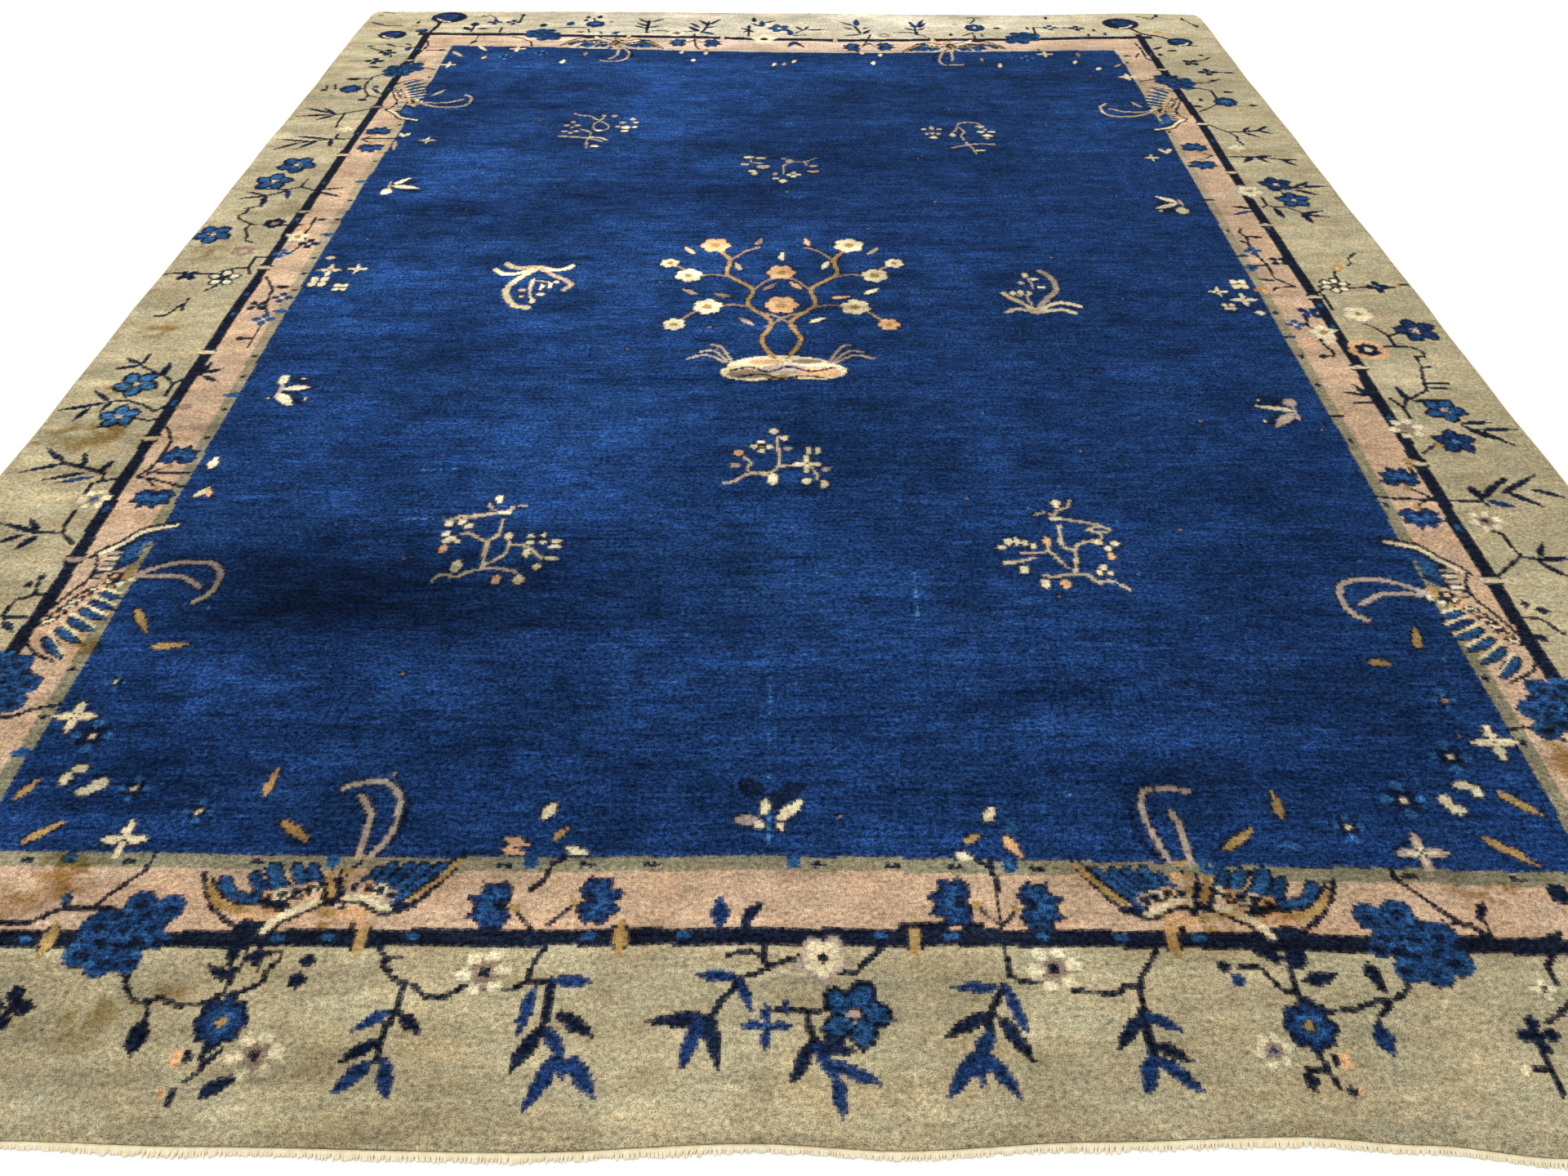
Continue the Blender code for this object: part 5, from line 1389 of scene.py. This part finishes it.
# Brown soil and old spills on the border. Columns: x, y, half width, half depth, how brown.
stains = [
    (-0.87, -1.51, 0.045, 0.035, 0.7), (-0.93, -1.53, 0.04, 0.04, 0.5), (-0.68, -1.65, 0.05, 0.03, 0.4),
    (-0.77, -1.71, 0.06, 0.035, 0.36), (-0.84, -1.69, 0.07, 0.03, 0.28), (1.065, -1.26, 0.02, 0.03, 0.5),
    (0.875, -1.53, 0.045, 0.028, 0.65), (-0.56, -1.55, 0.12, 0.05, 0.3), (0.54, -1.55, 0.12, 0.05, 0.3),
    (-1.25, -0.58, 0.11, 0.04, 0.8), (-1.30, -0.21, 0.07, 0.05, 0.5), (-1.25, -0.42, 0.06, 0.04, 0.45),
    (-1.30, 0.14, 0.06, 0.06, 0.4), (1.065, -1.33, 0.022, 0.035, 0.7), (-1.03, -1.10, 0.03, 0.06, 0.5),
]


def softSpots(x, y, rows):
    # the sum of soft round spots
    total = np.zeros(x.shape)
    for cx, cy, wide, deep, amount in rows:
        total += amount * np.exp(-((x - cx) / wide) ** 2 - ((y - cy) / deep) ** 2)
    return total


def smoothNoise(x, y, cellX, cellY, dice):
    # random values on a coarse grid, with easy curves between them; sizes in metres
    values = dice.uniform(-1, 1, (int(4 / cellY) + 4, int(3 / cellX) + 4))
    gx, gy = (x + 1.5) / cellX, (y + 2.0) / cellY
    ix, iy = np.floor(gx).astype(int), np.floor(gy).astype(int)
    fx, fy = gx - ix, gy - iy
    fx, fy = fx * fx * (3 - 2 * fx), fy * fy * (3 - 2 * fy)
    low = values[iy, ix] * (1 - fx) + values[iy, ix + 1] * fx
    high = values[iy + 1, ix] * (1 - fx) + values[iy + 1, ix + 1] * fx
    return low * (1 - fy) + high * fy


def softField(x, y):
    # how far inside the blue field a point lies, in metres
    d = (y + rugSpec["length"] / 2) * 1000
    across = np.minimum(x * 1000 - eased(fieldLeft, d), eased(fieldRight, d) - x * 1000)
    along = np.minimum(d - eased(fieldNear, x * 1000), eased(fieldFar, x * 1000) - d)
    return np.minimum(across, along) / 1000


def edgesOfColour(chartNow, rim):
    # true for each knot that has a neighbour of another yarn, and for the outer rows
    padded = np.pad(chartNow, 1, mode="edge")
    rows, cols = chartNow.shape
    edge = np.zeros(chartNow.shape, bool)
    for dr in (0, 1, 2):
        for dc in (0, 1, 2):
            edge |= padded[dr:dr + rows, dc:dc + cols] != chartNow
    edge[:rim] = edge[-rim:] = True
    edge[:, :rim] = edge[:, -rim:] = True
    return edge


def cellsOf(edge, smallest):
    # splits the chart into squares of 4, 2 and 1 knots, the small ones along the edges of colour
    rows, cols = edge.shape
    busy4 = edge.reshape(rows // 4, 4, cols // 4, 4).any(axis=(1, 3))
    busy2 = edge.reshape(rows // 2, 2, cols // 2, 2).any(axis=(1, 3))
    in4 = busy4.repeat(2, 0).repeat(2, 1)
    cells = {4: np.argwhere(~busy4) * 4}
    if smallest == 1:
        cells[2] = np.argwhere(in4 & ~busy2) * 2
        cells[1] = np.argwhere(busy2.repeat(2, 0).repeat(2, 1))
    else:
        cells[2] = np.argwhere(in4) * 2
    return cells


def aroundCell(size):
    # the lattice points round a cell, anticlockwise
    k = range(size)
    return np.array([(0, a) for a in k] + [(a, size) for a in k] + [(size, size - a)
            for a in k] + [(size - a, 0) for a in k])


def yarnColours():
    return np.array([linear(yarns[name]) for name in yarnNames], np.float32)


def clothMesh(name, cells, window, colours, cornerColours, x, y, z, bottom, extra, material, upward=True):
    # a closed slab whose top is made of the cells inside the window, with walls and one face below
    r0, r1, c0, c1 = window
    used = np.zeros(x.shape, bool)
    chosen = {}
    for size, where in cells.items():
        inside = (where[:, 0] >= r0) & (where[:, 0] < r1) & (where[:, 1] >= c0) & (where[:, 1] < c1)
        chosen[size] = where[inside]
    # the cells of the neighbouring panels count too, so that shared edges have the same points
    for size, where in cells.items():
        for dr, dc in ((0, 0), (0, size), (size, 0), (size, size)):
            used[where[:, 0] + dr, where[:, 1] + dc] = True
    number = np.full(x.shape, -1)
    mine = np.zeros(x.shape, bool)
    mine[r0:r1 + 1, c0:c1 + 1] = used[r0:r1 + 1, c0:c1 + 1]
    number[mine] = np.arange(mine.sum())
    loops, counts, faceKnots = [], [], []
    for size, where in chosen.items():
        ring = aroundCell(size)
        rr = where[:, :1] + ring[None, :, 0]
        cc = where[:, 1:] + ring[None, :, 1]
        keep = used[rr, cc]
        loops.append(np.stack([rr[keep], cc[keep]], 1))
        counts.append(keep.sum(1))
        faceKnots.append(where)
    loops, counts, faceKnots = np.concatenate(loops), np.concatenate(counts), np.concatenate(faceKnots)
    rimPath = [(r0, c) for c in range(c0, c1)] + [(r, c1) for r in range(r0, r1)]
    rimPath += [(r1, c) for c in range(c1, c0, -1)] + [(r, c0) for r in range(r1, r0, -1)]
    rim = np.array([p for p in rimPath if used[p]])
    topRim = number[rim[:, 0], rim[:, 1]]
    total = int(mine.sum())
    below = total + np.arange(len(rim))
    points = np.empty((total + len(rim), 3), np.float32)
    points[:total] = np.stack([x[mine], y[mine], z[mine]], 1)
    points[total:] = np.stack([x[rim[:, 0], rim[:, 1]], y[rim[:, 0], rim[:, 1]], np.full(len(rim), bottom)],
                              1)
    following = np.roll(np.arange(len(rim)), -1)
    walls = np.stack([topRim, below, below[following], topRim[following]], 1)
    allLoops = np.concatenate([number[loops[:, 0], loops[:, 1]], walls.ravel(), below[::-1]])
    allCounts = np.concatenate([counts, np.full(len(walls), 4), [len(rim)]])
    if not upward:
        starts = np.concatenate([[0], np.cumsum(allCounts)[:-1]])
        order = np.concatenate([np.arange(s + n - 1, s - 1, -1) for s, n in zip(starts, allCounts)])
        allLoops = allLoops[order]
    mesh = bpy.data.meshes.new(name)
    mesh.vertices.add(len(points))
    mesh.vertices.foreach_set("co", points.ravel())
    mesh.loops.add(len(allLoops))
    mesh.loops.foreach_set("vertex_index", allLoops.astype(np.int32))
    mesh.polygons.add(len(allCounts))
    mesh.polygons.foreach_set("loop_start", np.concatenate([[0], np.cumsum(allCounts)[:-1]]).astype(np.int32))
    mesh.update(calc_edges=True)
    mesh.validate()
    faceColour = colours[faceKnots[:, 0], faceKnots[:, 1]]
    wallColour = cornerColours[rim[:, 0], rim[:, 1]]
    cornerFace = np.concatenate([faceColour.repeat(counts, 0), wallColour.repeat(4, 0), wallColour])
    blurred = np.concatenate([cornerColours[loops[:, 0], loops[:, 1]], wallColour.repeat(4, 0), wallColour])
    if not upward:
        cornerFace, blurred = cornerFace[order], blurred[order]
    for title, data in (("yarn", cornerFace), ("blurredYarn", blurred)):
        layer = mesh.color_attributes.new(title, "FLOAT_COLOR", "CORNER")
        layer.data.foreach_set("color", data.astype(np.float32).ravel())
    for title, data in extra.items():
        layer = mesh.attributes.new(title, "FLOAT", "POINT")
        values = np.concatenate([data[mine], data[rim[:, 0], rim[:, 1]]])
        layer.data.foreach_set("value", values.astype(np.float32))
    mesh.shade_smooth()
    mesh.set_sharp_from_angle(angle=math.radians(48))
    mesh.materials.append(material)
    piece = bpy.data.objects.new(name, mesh)
    bpy.context.scene.collection.objects.link(piece)
    return piece


def cornerAverage(colours):
    # each lattice point gets the mean colour of the knots that meet there
    padded = np.pad(colours, ((1, 1), (1, 1), (0, 0)), mode="edge")
    return (padded[:-1, :-1] + padded[1:, :-1] + padded[:-1, 1:] + padded[1:, 1:]) / 4


def knotColours():
    # ground knots beside dark figures are painted a little paler: a painted highlight round each dark figure
    colours = yarnColours()[chart]
    dark = np.isin(chart,
                   [yarnIndex[name] for name in ("navy", "leafNavy", "leafBlue", "midBlue", "petalBlue")])
    paleGround = np.isin(chart, [yarnIndex[name] for name in ("khaki", "rose", "guard")])
    near = np.zeros_like(dark)
    for dr, dc in ((1, 0), (-1, 0), (0, 1), (0, -1)):
        near |= np.roll(np.roll(dark, dr, 0), dc, 1)
    colours[near & paleGround, :3] *= 1.10
    # the guard stripe fades along the rug, until at the far end it is as pale as the bands beside it
    faded = (np.clip((knotD - 1000) / 2300, 0, 0.9) * (chart == yarnIndex["guard"]))[..., None]
    beside = (np.array(linear(yarns["rose"])) + np.array(linear(yarns["khaki"]))) / 2
    colours = colours * (1 - faded) + faded * beside
    # the far end is painted paler and greyer than the near one: painted glare on the pale bands
    farGlare = np.clip((knotD - 900) / 2800, 0, 1)[..., None] * paleGround[..., None]
    middle = np.exp(-((knotX / 900) ** 4))[..., None]
    colours[..., :3] += farGlare * (0.02 + 0.15 * middle * np.clip((knotD[..., None] - 3000) / 500, 0,
            1)) * (0.94, 1.0, 1.10)
    return colours


def pilePanels():
    dice = np.random.default_rng(pileSpec["seed"])
    x, y = cornerX / 1000, cornerD / 1000 - rugSpec["length"] / 2
    rows, cols = x.shape
    fromEdge = np.minimum.outer(np.minimum(np.arange(rows), np.arange(rows)[::-1]),
                                np.minimum(np.arange(cols), np.arange(cols)[::-1]))
    z = np.full(x.shape, rugSpec["pileTop"])
    for k, drop in enumerate(pileSpec["rimDropMm"]):
        z[fromEdge == k] -= drop / 1000
    z += pileSpec["wavesMm"] / 1000 * smoothNoise(x, y, 0.11, 0.09, dice)
    z += dice.normal(0, pileSpec["heightStrayMm"] / 1000, x.shape)
    z -= 0.0008 * np.exp(-(x / 0.004) ** 2) * (y < -1.77)
    stray = pileSpec["sideStrayMm"] / 1000
    xKnot = x + dice.uniform(-stray, stray, x.shape) * (fromEdge > 0)
    yKnot = y + dice.uniform(-stray, stray, x.shape) * (fromEdge > 0)
    blue = np.clip(8 * softField(x, y), 0, 1)
    wearAndSheen = softSpots(x, y, wearAndSheenClouds)
    for wide, deep, amount in pileSpec["cloudGrain"]:
        wearAndSheen += amount * smoothNoise(x, y, wide, deep, dice)
    # the left half is the more clouded one, and the border less than the field; the clouds are wear and
    # painted sheen and shade
    wearSheenAndGlare = 0.5 * np.exp((wearAndSheen - 0.04) * (0.62 + 0.38 * blue) * np.clip(0.95 - 0.25 * x, 0.75, 1.1))
    # painted glare: the pale bands are painted paler towards the far end
    farGlare, start, reach = pileSpec["farPaintedGlare"]
    wearSheenAndGlare *= 1 + farGlare * np.clip((y - start) / reach, 0, 1) * (1 - blue)
    stained = softSpots(x, y, stains)
    ragged = 1 + 0.9 * smoothNoise(x, y, 0.034, 0.024, dice) + 1.1 * smoothNoise(x, y, 0.011, 0.010, dice)
    stained = np.clip(1.9 * (stained * ragged - 0.20), 0, 1)
    for wide, deep, amount in ((0.13, 0.09, 0.22), (0.05, 0.03, 0.20)):
        stained += amount * np.clip(smoothNoise(x, y, wide, deep, dice), 0, 1)
    colours = knotColours()
    corners = cornerAverage(colours)
    cells = cellsOf(edgesOfColour(chart, 3), 1)
    blockRows = np.round(np.linspace(0, (rows - 1) / 4, pileSpec["panelsAlong"] + 1)).astype(int) * 4
    blockCols = np.round(np.linspace(0, (cols - 1) / 4, pileSpec["panelsAcross"] + 1)).astype(int) * 4
    panels = []
    for r in range(pileSpec["panelsAlong"]):
        for c in range(pileSpec["panelsAcross"]):
            window = (blockRows[r], blockRows[r + 1], blockCols[c], blockCols[c + 1])
            panels.append(clothMesh(f"pile_{r + 1}_{c + 1}", cells, window, colours, corners, xKnot, yKnot, z,
                                    rugSpec["groundTop"],
                                    {"wearSheenAndGlare": wearSheenAndGlare, "stained": np.clip(stained, 0, 1)},
                                    woolMaterial))
    return panels


def groundCloth():
    # the cloth that the knots are tied on, drawn face down so that its back shows the figures
    x, y = cornerX / 1000, cornerD / 1000 - rugSpec["length"] / 2
    rows, cols = x.shape
    edge = edgesOfColour(chart, 1)
    cells = cellsOf(edge, 2)
    colours = knotColours()
    corners = cornerAverage(colours)
    z = np.zeros(x.shape)
    return clothMesh("ground_cloth", cells, (0, rows - 1, 0, cols - 1), colours, corners, x, y, z,
                     rugSpec["groundTop"], {}, groundMaterial, upward=False)


panels = pilePanels()
ground = groundCloth()
for piece in panels + [ground]:
    piece.data.calc_loop_triangles()
    print(piece.name, len(piece.data.loop_triangles))


print("cutting the fringe")
fringeSpec = {
    "strands": 1250,          # at each end
    "lengthMm": 6.4,
    "lengthStray": 0.36,      # share of the length
    "thickMm": 2.3,
    "leanDeg": 14.0,          # most that a strand leans to one side
    "webMm": 4.0,
    "webThickMm": 4.4,
    "seeds": (11, 23),
}


def socketOf(modifier, name):
    # a modifier's input goes by its socket's identifier
    for item in modifier.node_group.interface.items_tree:
        if item.item_type == "SOCKET" and item.in_out == "INPUT" and item.name == name:
            return item.identifier
    raise KeyError(name)


def applied(name, source, group, values):
    # runs a node tree on an object and keeps the result as a plain mesh
    modifier = source.modifiers.new("maker", "NODES")
    modifier.node_group = group
    for title, value in values.items():
        modifier[socketOf(modifier, title)] = value
    bpy.context.view_layer.update()
    evaluated = source.evaluated_get(bpy.context.evaluated_depsgraph_get())
    mesh = bpy.data.meshes.new_from_object(evaluated)
    mesh.name = name
    piece = bpy.data.objects.new(name, mesh)
    bpy.context.scene.collection.objects.link(piece)
    bpy.data.objects.remove(source, do_unlink=True)
    return piece


def guideCurve(name, points):
    curveData = bpy.data.curves.new(name, "CURVE")
    curveData.dimensions = "3D"
    spline = curveData.splines.new("POLY")
    spline.points.add(len(points) - 1)
    for point, place in zip(spline.points, points):
        point.co = (*place, 1.0)
    guide = bpy.data.objects.new(name, curveData)
    bpy.context.scene.collection.objects.link(guide)
    return guide


def newTree(name, sockets):
    tree = bpy.data.node_groups.new(name, "GeometryNodeTree")
    tree.interface.new_socket("Geometry", in_out="INPUT", socket_type="NodeSocketGeometry")
    for title, kind in sockets:
        tree.interface.new_socket(title, in_out="INPUT", socket_type=kind)
    tree.interface.new_socket("Geometry", in_out="OUTPUT", socket_type="NodeSocketGeometry")
    return tree, addNode(tree, "NodeGroupInput")


def strandMesh():
    # one cut warp end: a bent four-sided strand that lies down to the floor, root at the origin, tip at -Y
    long = fringeSpec["lengthMm"] / 1000
    half = fringeSpec["thickMm"] / 2000
    rings = [(0.0, 4.0, 1.0, 0.0), (0.35, 3.0, 1.05, 0.10), (0.70, 1.8, 0.95, -0.04), (1.0, 1.0, 0.70, 0.08)]
    shape = bmesh.new()
    loops = []
    for along, heightMm, swell, swayShare in rings:
        height = max(heightMm / 1000, 0.72 * half * swell + 0.0001)
        ring = []
        for k in range(4):
            a = math.pi / 4 + math.pi / 2 * k
            ring.append(shape.verts.new((swayShare * long * 0.6 + half * swell * 1.3 * math.cos(a),
                                         -along * long,
                                         height + half * swell * math.sin(a))))
        loops.append(ring)
    for low, high in zip(loops, loops[1:]):
        for k in range(4):
            shape.faces.new((low[k], low[(k + 1) % 4], high[(k + 1) % 4], high[k]))
    shape.faces.new(loops[0][::-1])
    shape.faces.new(loops[-1])
    bmesh.ops.recalc_face_normals(shape, faces=shape.faces)
    mesh = bpy.data.meshes.new("strand")
    shape.to_mesh(mesh)
    shape.free()
    strand = bpy.data.objects.new("strand", mesh)
    bpy.context.scene.collection.objects.link(strand)
    return strand


def fringeTree():
    tree, source = newTree("cut_fringe", [
        ("Strand", "NodeSocketObject"), ("Count", "NodeSocketInt"), ("Lean", "NodeSocketFloat"),
        ("Shortest", "NodeSocketFloat"), ("Longest", "NodeSocketFloat"), ("Seed", "NodeSocketInt"),
        ("Facing", "NodeSocketFloat"), ("Material", "NodeSocketMaterial")])
    given = source.outputs
    along = addNode(tree, "GeometryNodeResampleCurve", {"Curve": given["Geometry"], "Count": given["Count"]},
                    mode="COUNT")
    strand = addNode(tree, "GeometryNodeObjectInfo", {"Object": given["Strand"]}, transform_space="ORIGINAL")
    leftLean = addNode(tree, "ShaderNodeMath", {0: given["Lean"]}, {1: -1.0}, operation="MULTIPLY")
    turn = addNode(tree, "FunctionNodeRandomValue",
                   {"Min": leftLean.outputs[0], "Max": given["Lean"], "Seed": given["Seed"]},
                   data_type="FLOAT")
    # whole tufts lean together, a few strands at a time
    place = addNode(tree, "GeometryNodeInputPosition")
    gusts = addNode(tree, "ShaderNodeTexNoise", {"Vector": place.outputs[0]}, {"Scale": 26.0, "Detail": 2.0})
    gustTurn = addNode(tree, "ShaderNodeMapRange", {"Value": gusts.outputs["Fac"]},
                       {"From Min": 0.3, "From Max": 0.7, "To Min": -0.45, "To Max": 0.45})
    total = addNode(tree, "ShaderNodeMath", {0: turn.outputs["Value"], 1: gustTurn.outputs["Result"]},
                    operation="ADD")
    faced = addNode(tree, "ShaderNodeMath", {0: total.outputs[0], 1: given["Facing"]}, operation="ADD")
    angles = addNode(tree, "ShaderNodeCombineXYZ", {"Z": faced.outputs[0]})
    sizes = addNode(tree, "FunctionNodeRandomValue",
                    {"Min": given["Shortest"], "Max": given["Longest"], "Seed": given["Seed"]},
                    data_type="FLOAT")
    lengths = addNode(tree, "ShaderNodeTexNoise", {"Vector": place.outputs[0]}, {"Scale": 9.0, "Detail": 3.0})
    lengthSpan = addNode(tree, "ShaderNodeMapRange", {"Value": lengths.outputs["Fac"]},
                         {"From Min": 0.3, "From Max": 0.7, "To Min": 0.72, "To Max": 1.3})
    reach = addNode(tree, "ShaderNodeMath", {0: sizes.outputs["Value"], 1: lengthSpan.outputs["Result"]},
                    operation="MULTIPLY")
    scale = addNode(tree, "ShaderNodeCombineXYZ", {"Y": reach.outputs[0]}, {"X": 1.0, "Z": 1.0})
    row = addNode(tree, "GeometryNodeInstanceOnPoints",
                  {"Points": along.outputs["Curve"], "Instance": strand.outputs["Geometry"],
                   "Rotation": angles.outputs[0], "Scale": scale.outputs[0]})
    plain = addNode(tree, "GeometryNodeRealizeInstances", {"Geometry": row.outputs["Instances"]})
    dyed = addNode(tree, "GeometryNodeSetMaterial",
                   {"Geometry": plain.outputs["Geometry"], "Material": given["Material"]})
    addNode(tree, "NodeGroupOutput", {"Geometry": dyed.outputs["Geometry"]})
    return tree


def webStrip(name, end):
    # the narrow woven strip that the fringe grows from
    line = nearLine if end < 0 else farLine
    half = rugSpec["width"] / 2 - rugSpec["cordWidth"] - rugSpec["cornerRadius"] - rugSpec["seamGap"]
    count = 340
    shape = bmesh.new()
    rings = []
    dice = np.random.default_rng(31 + end)
    for k in range(count + 1):
        x = -half + 2 * half * k / count
        inner = float(line(x)) + end * rugSpec["seamGap"]
        outer = inner + end * (fringeSpec["webMm"] / 1000 + dice.uniform(-0.0007, 0.0007))
        top = fringeSpec["webThickMm"] / 1000 + dice.uniform(-0.0002, 0.0003)
        rings.append([shape.verts.new(p) for p in ((x, inner, 0.0), (x, outer, 0.0), (x, outer, top * 0.6),
                                                   (x, (inner + outer) / 2, top), (x, inner, top))])
    for low, high in zip(rings, rings[1:]):
        for k in range(5):
            shape.faces.new((low[k], low[(k + 1) % 5], high[(k + 1) % 5], high[k]))
    shape.faces.new(rings[0][::-1])
    shape.faces.new(rings[-1])
    bmesh.ops.recalc_face_normals(shape, faces=shape.faces)
    mesh = bpy.data.meshes.new(name)
    shape.to_mesh(mesh)
    shape.free()
    mesh.materials.append(cottonMaterial)
    return mesh


def joined(name, first, second):
    # two meshes as one piece
    shape = bmesh.new()
    shape.from_mesh(first)
    shape.from_mesh(second)
    mesh = bpy.data.meshes.new(name)
    shape.to_mesh(mesh)
    shape.free()
    mesh.materials.append(cottonMaterial)
    piece = bpy.data.objects.new(name, mesh)
    bpy.context.scene.collection.objects.link(piece)
    return piece


def fringes():
    tree = fringeTree()
    strand = strandMesh()
    made = []
    half = rugSpec["width"] / 2 - rugSpec["cordWidth"] - rugSpec["cornerRadius"] - 0.001
    for name, end, seed in (("cut_fringe_near", -1, fringeSpec["seeds"][0]),
                            ("cut_fringe_far", 1, fringeSpec["seeds"][1])):
        line = nearLine if end < 0 else farLine
        root = fringeSpec["webMm"] / 1000 * 0.6
        points = [(x, float(line(x)) + end * root, 0.0) for x in np.linspace(-half, half, 180)]
        guide = guideCurve(name + "_guide", points)
        row = applied(name, guide, tree, {
            "Strand": strand, "Count": fringeSpec["strands"], "Lean": math.radians(fringeSpec["leanDeg"]),
            "Shortest": 1 - fringeSpec["lengthStray"], "Longest": 1 + fringeSpec["lengthStray"] * 0.6,
            "Seed": seed,
            "Facing": 0.0 if end < 0 else math.pi, "Material": cottonMaterial})
        strands = row.data
        bpy.data.objects.remove(row, do_unlink=True)
        piece = joined(name, strands, webStrip(name + "_web", end))
        made.append(piece)
    bpy.data.objects.remove(strand, do_unlink=True)
    return made


print("overcasting the sides")
cordSpec = {
    "radiusMm": 2.9,
    "wrapMm": 4.4,          # from one wrap of yarn to the next
    "grooveShare": 0.80,
    "sidesOfWrap": 8,
    "seed": 3,
}


def cordTree():
    tree, source = newTree("overcast_cord", [
        ("Radius", "NodeSocketFloat"), ("Step", "NodeSocketFloat"), ("Groove", "NodeSocketFloat"),
        ("Sides", "NodeSocketInt"), ("Material", "NodeSocketMaterial")])
    given = source.outputs
    along = addNode(tree, "GeometryNodeResampleCurve", {"Curve": given["Geometry"], "Length": given["Step"]},
                    mode="LENGTH")
    index = addNode(tree, "GeometryNodeInputIndex")
    odd = addNode(tree, "ShaderNodeMath", {0: index.outputs[0]}, {1: 2.0}, operation="MODULO")
    wrap = addNode(tree, "ShaderNodeMapRange", {"Value": odd.outputs[0], "To Min": given["Groove"]},
                   {"To Max": 1.0})
    place = addNode(tree, "GeometryNodeInputPosition")
    lumps = addNode(tree, "ShaderNodeTexNoise", {"Vector": place.outputs[0]}, {"Scale": 60.0, "Detail": 2.0})
    lumpSpan = addNode(tree, "ShaderNodeMapRange", {"Value": lumps.outputs["Fac"]},
                       {"From Min": 0.3, "From Max": 0.7, "To Min": 0.84, "To Max": 1.0})
    share = addNode(tree, "ShaderNodeMath", {0: wrap.outputs["Result"], 1: lumpSpan.outputs["Result"]},
                    operation="MULTIPLY")
    radius = addNode(tree, "GeometryNodeSetCurveRadius",
                     {"Curve": along.outputs["Curve"], "Radius": share.outputs[0]})
    section = addNode(tree, "GeometryNodeCurvePrimitiveCircle",
                      {"Radius": given["Radius"], "Resolution": given["Sides"]},
                      mode="RADIUS")
    tube = addNode(tree, "GeometryNodeCurveToMesh",
                   {"Curve": radius.outputs["Curve"], "Profile Curve": section.outputs["Curve"],
                    "Scale": share.outputs[0]},
                   {"Fill Caps": True})
    plain = addNode(tree, "GeometryNodeRealizeInstances", {"Geometry": tube.outputs["Mesh"]})
    dyed = addNode(tree, "GeometryNodeSetMaterial",
                   {"Geometry": plain.outputs["Geometry"], "Material": given["Material"]})
    addNode(tree, "NodeGroupOutput", {"Geometry": dyed.outputs["Geometry"]})
    return tree


def sideCords():
    tree = cordTree()
    made = []
    radius = cordSpec["radiusMm"] / 1000
    for name, side in (("side_cord_left", -1), ("side_cord_right", 1)):
        reach = rugSpec["length"] / 2 - rugSpec["cornerRadius"]
        low = float(nearLine(side * 1.34)) + rugSpec["cornerRadius"]
        high = float(farLine(side * 1.34)) - rugSpec["cornerRadius"]
        points = [(float(sideLine(y, side)) + side * (radius + rugSpec["seamGap"]), y, radius)
                  for y in np.linspace(low, high, 300)]
        guide = guideCurve(name + "_guide", points)
        piece = applied(name, guide, tree, {
            "Radius": radius, "Step": cordSpec["wrapMm"] / 2000, "Groove": cordSpec["grooveShare"],
            "Sides": cordSpec["sidesOfWrap"], "Material": cordMaterial})
        piece.data.shade_smooth()
        made.append(piece)
    return made


fringePieces = fringes()
cordPieces = sideCords()
for piece in fringePieces + cordPieces:
    piece.data.calc_loop_triangles()
    print(piece.name, len(piece.data.loop_triangles))


print("naming the pieces")
for piece in panels + [ground]:
    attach(piece, "root")
    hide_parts("rug")
for piece, node in zip(fringePieces, ("fringe_near", "fringe_far")):
    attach(piece, "root")
    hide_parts(node)
for piece, node in zip(cordPieces, ("selvedge_left", "selvedge_right")):
    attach(piece, "root")
    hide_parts(node)

print("laying the floor and setting the lights")
studioSpec = {
    "floorHalf": 30.0,
    "floorHex": "#fbfbfa",
    "skyStrength": 0.80,
    "lampPower": 190.0,
    "lampSize": 5.0,
    "lampPlace": (-1.1, 1.0, 4.7),
}


def paleFloor():
    material, tree = newMaterial("matt_white_paper")
    place = addNode(tree, "ShaderNodeTexCoord").outputs["Object"]
    grain = addNode(tree, "ShaderNodeTexNoise", {"Vector": place}, {"Scale": 3.0, "Detail": 2.0})
    colour = addNode(tree, "ShaderNodeMix", {"Factor": grain.outputs["Fac"]},
                     {"A": linear(studioSpec["floorHex"]), "B": linear("#f6f6f4")},
                     data_type="RGBA").outputs["Result"]
    bump = addNode(tree, "ShaderNodeBump", {"Height": grain.outputs["Fac"]}, {"Strength": 0.02})
    finishMaterial(tree, colour, bump.outputs[0], 0.95, 0.1, 0.0, "#ffffff")
    shape = bmesh.new()
    bmesh.ops.create_grid(shape, x_segments=2, y_segments=2, size=studioSpec["floorHalf"])
    mesh = bpy.data.meshes.new("floor")
    shape.to_mesh(mesh)
    shape.free()
    mesh.materials.append(material)
    floor = bpy.data.objects.new("floor", mesh)
    bpy.context.scene.collection.objects.link(floor)
    return floor


def studioLight():
    world = bpy.data.worlds.new("studio")
    world.use_nodes = True
    sky = world.node_tree.nodes["Background"]
    sky.inputs["Color"].default_value = (1.0, 1.0, 1.0, 1.0)
    sky.inputs["Strength"].default_value = studioSpec["skyStrength"]
    bpy.context.scene.world = world
    lampData = bpy.data.lights.new("softbox", "AREA")
    lampData.energy = studioSpec["lampPower"]
    lampData.size = studioSpec["lampSize"]
    lamp = bpy.data.objects.new("softbox", lampData)
    lamp.location = studioSpec["lampPlace"]
    aim = -lamp.location.normalized()
    lamp.rotation_euler = aim.to_track_quat("-Z", "Y").to_euler()
    bpy.context.scene.collection.objects.link(lamp)
    bpy.context.scene.view_settings.view_transform = "Standard"


floor = paleFloor()
studioLight()
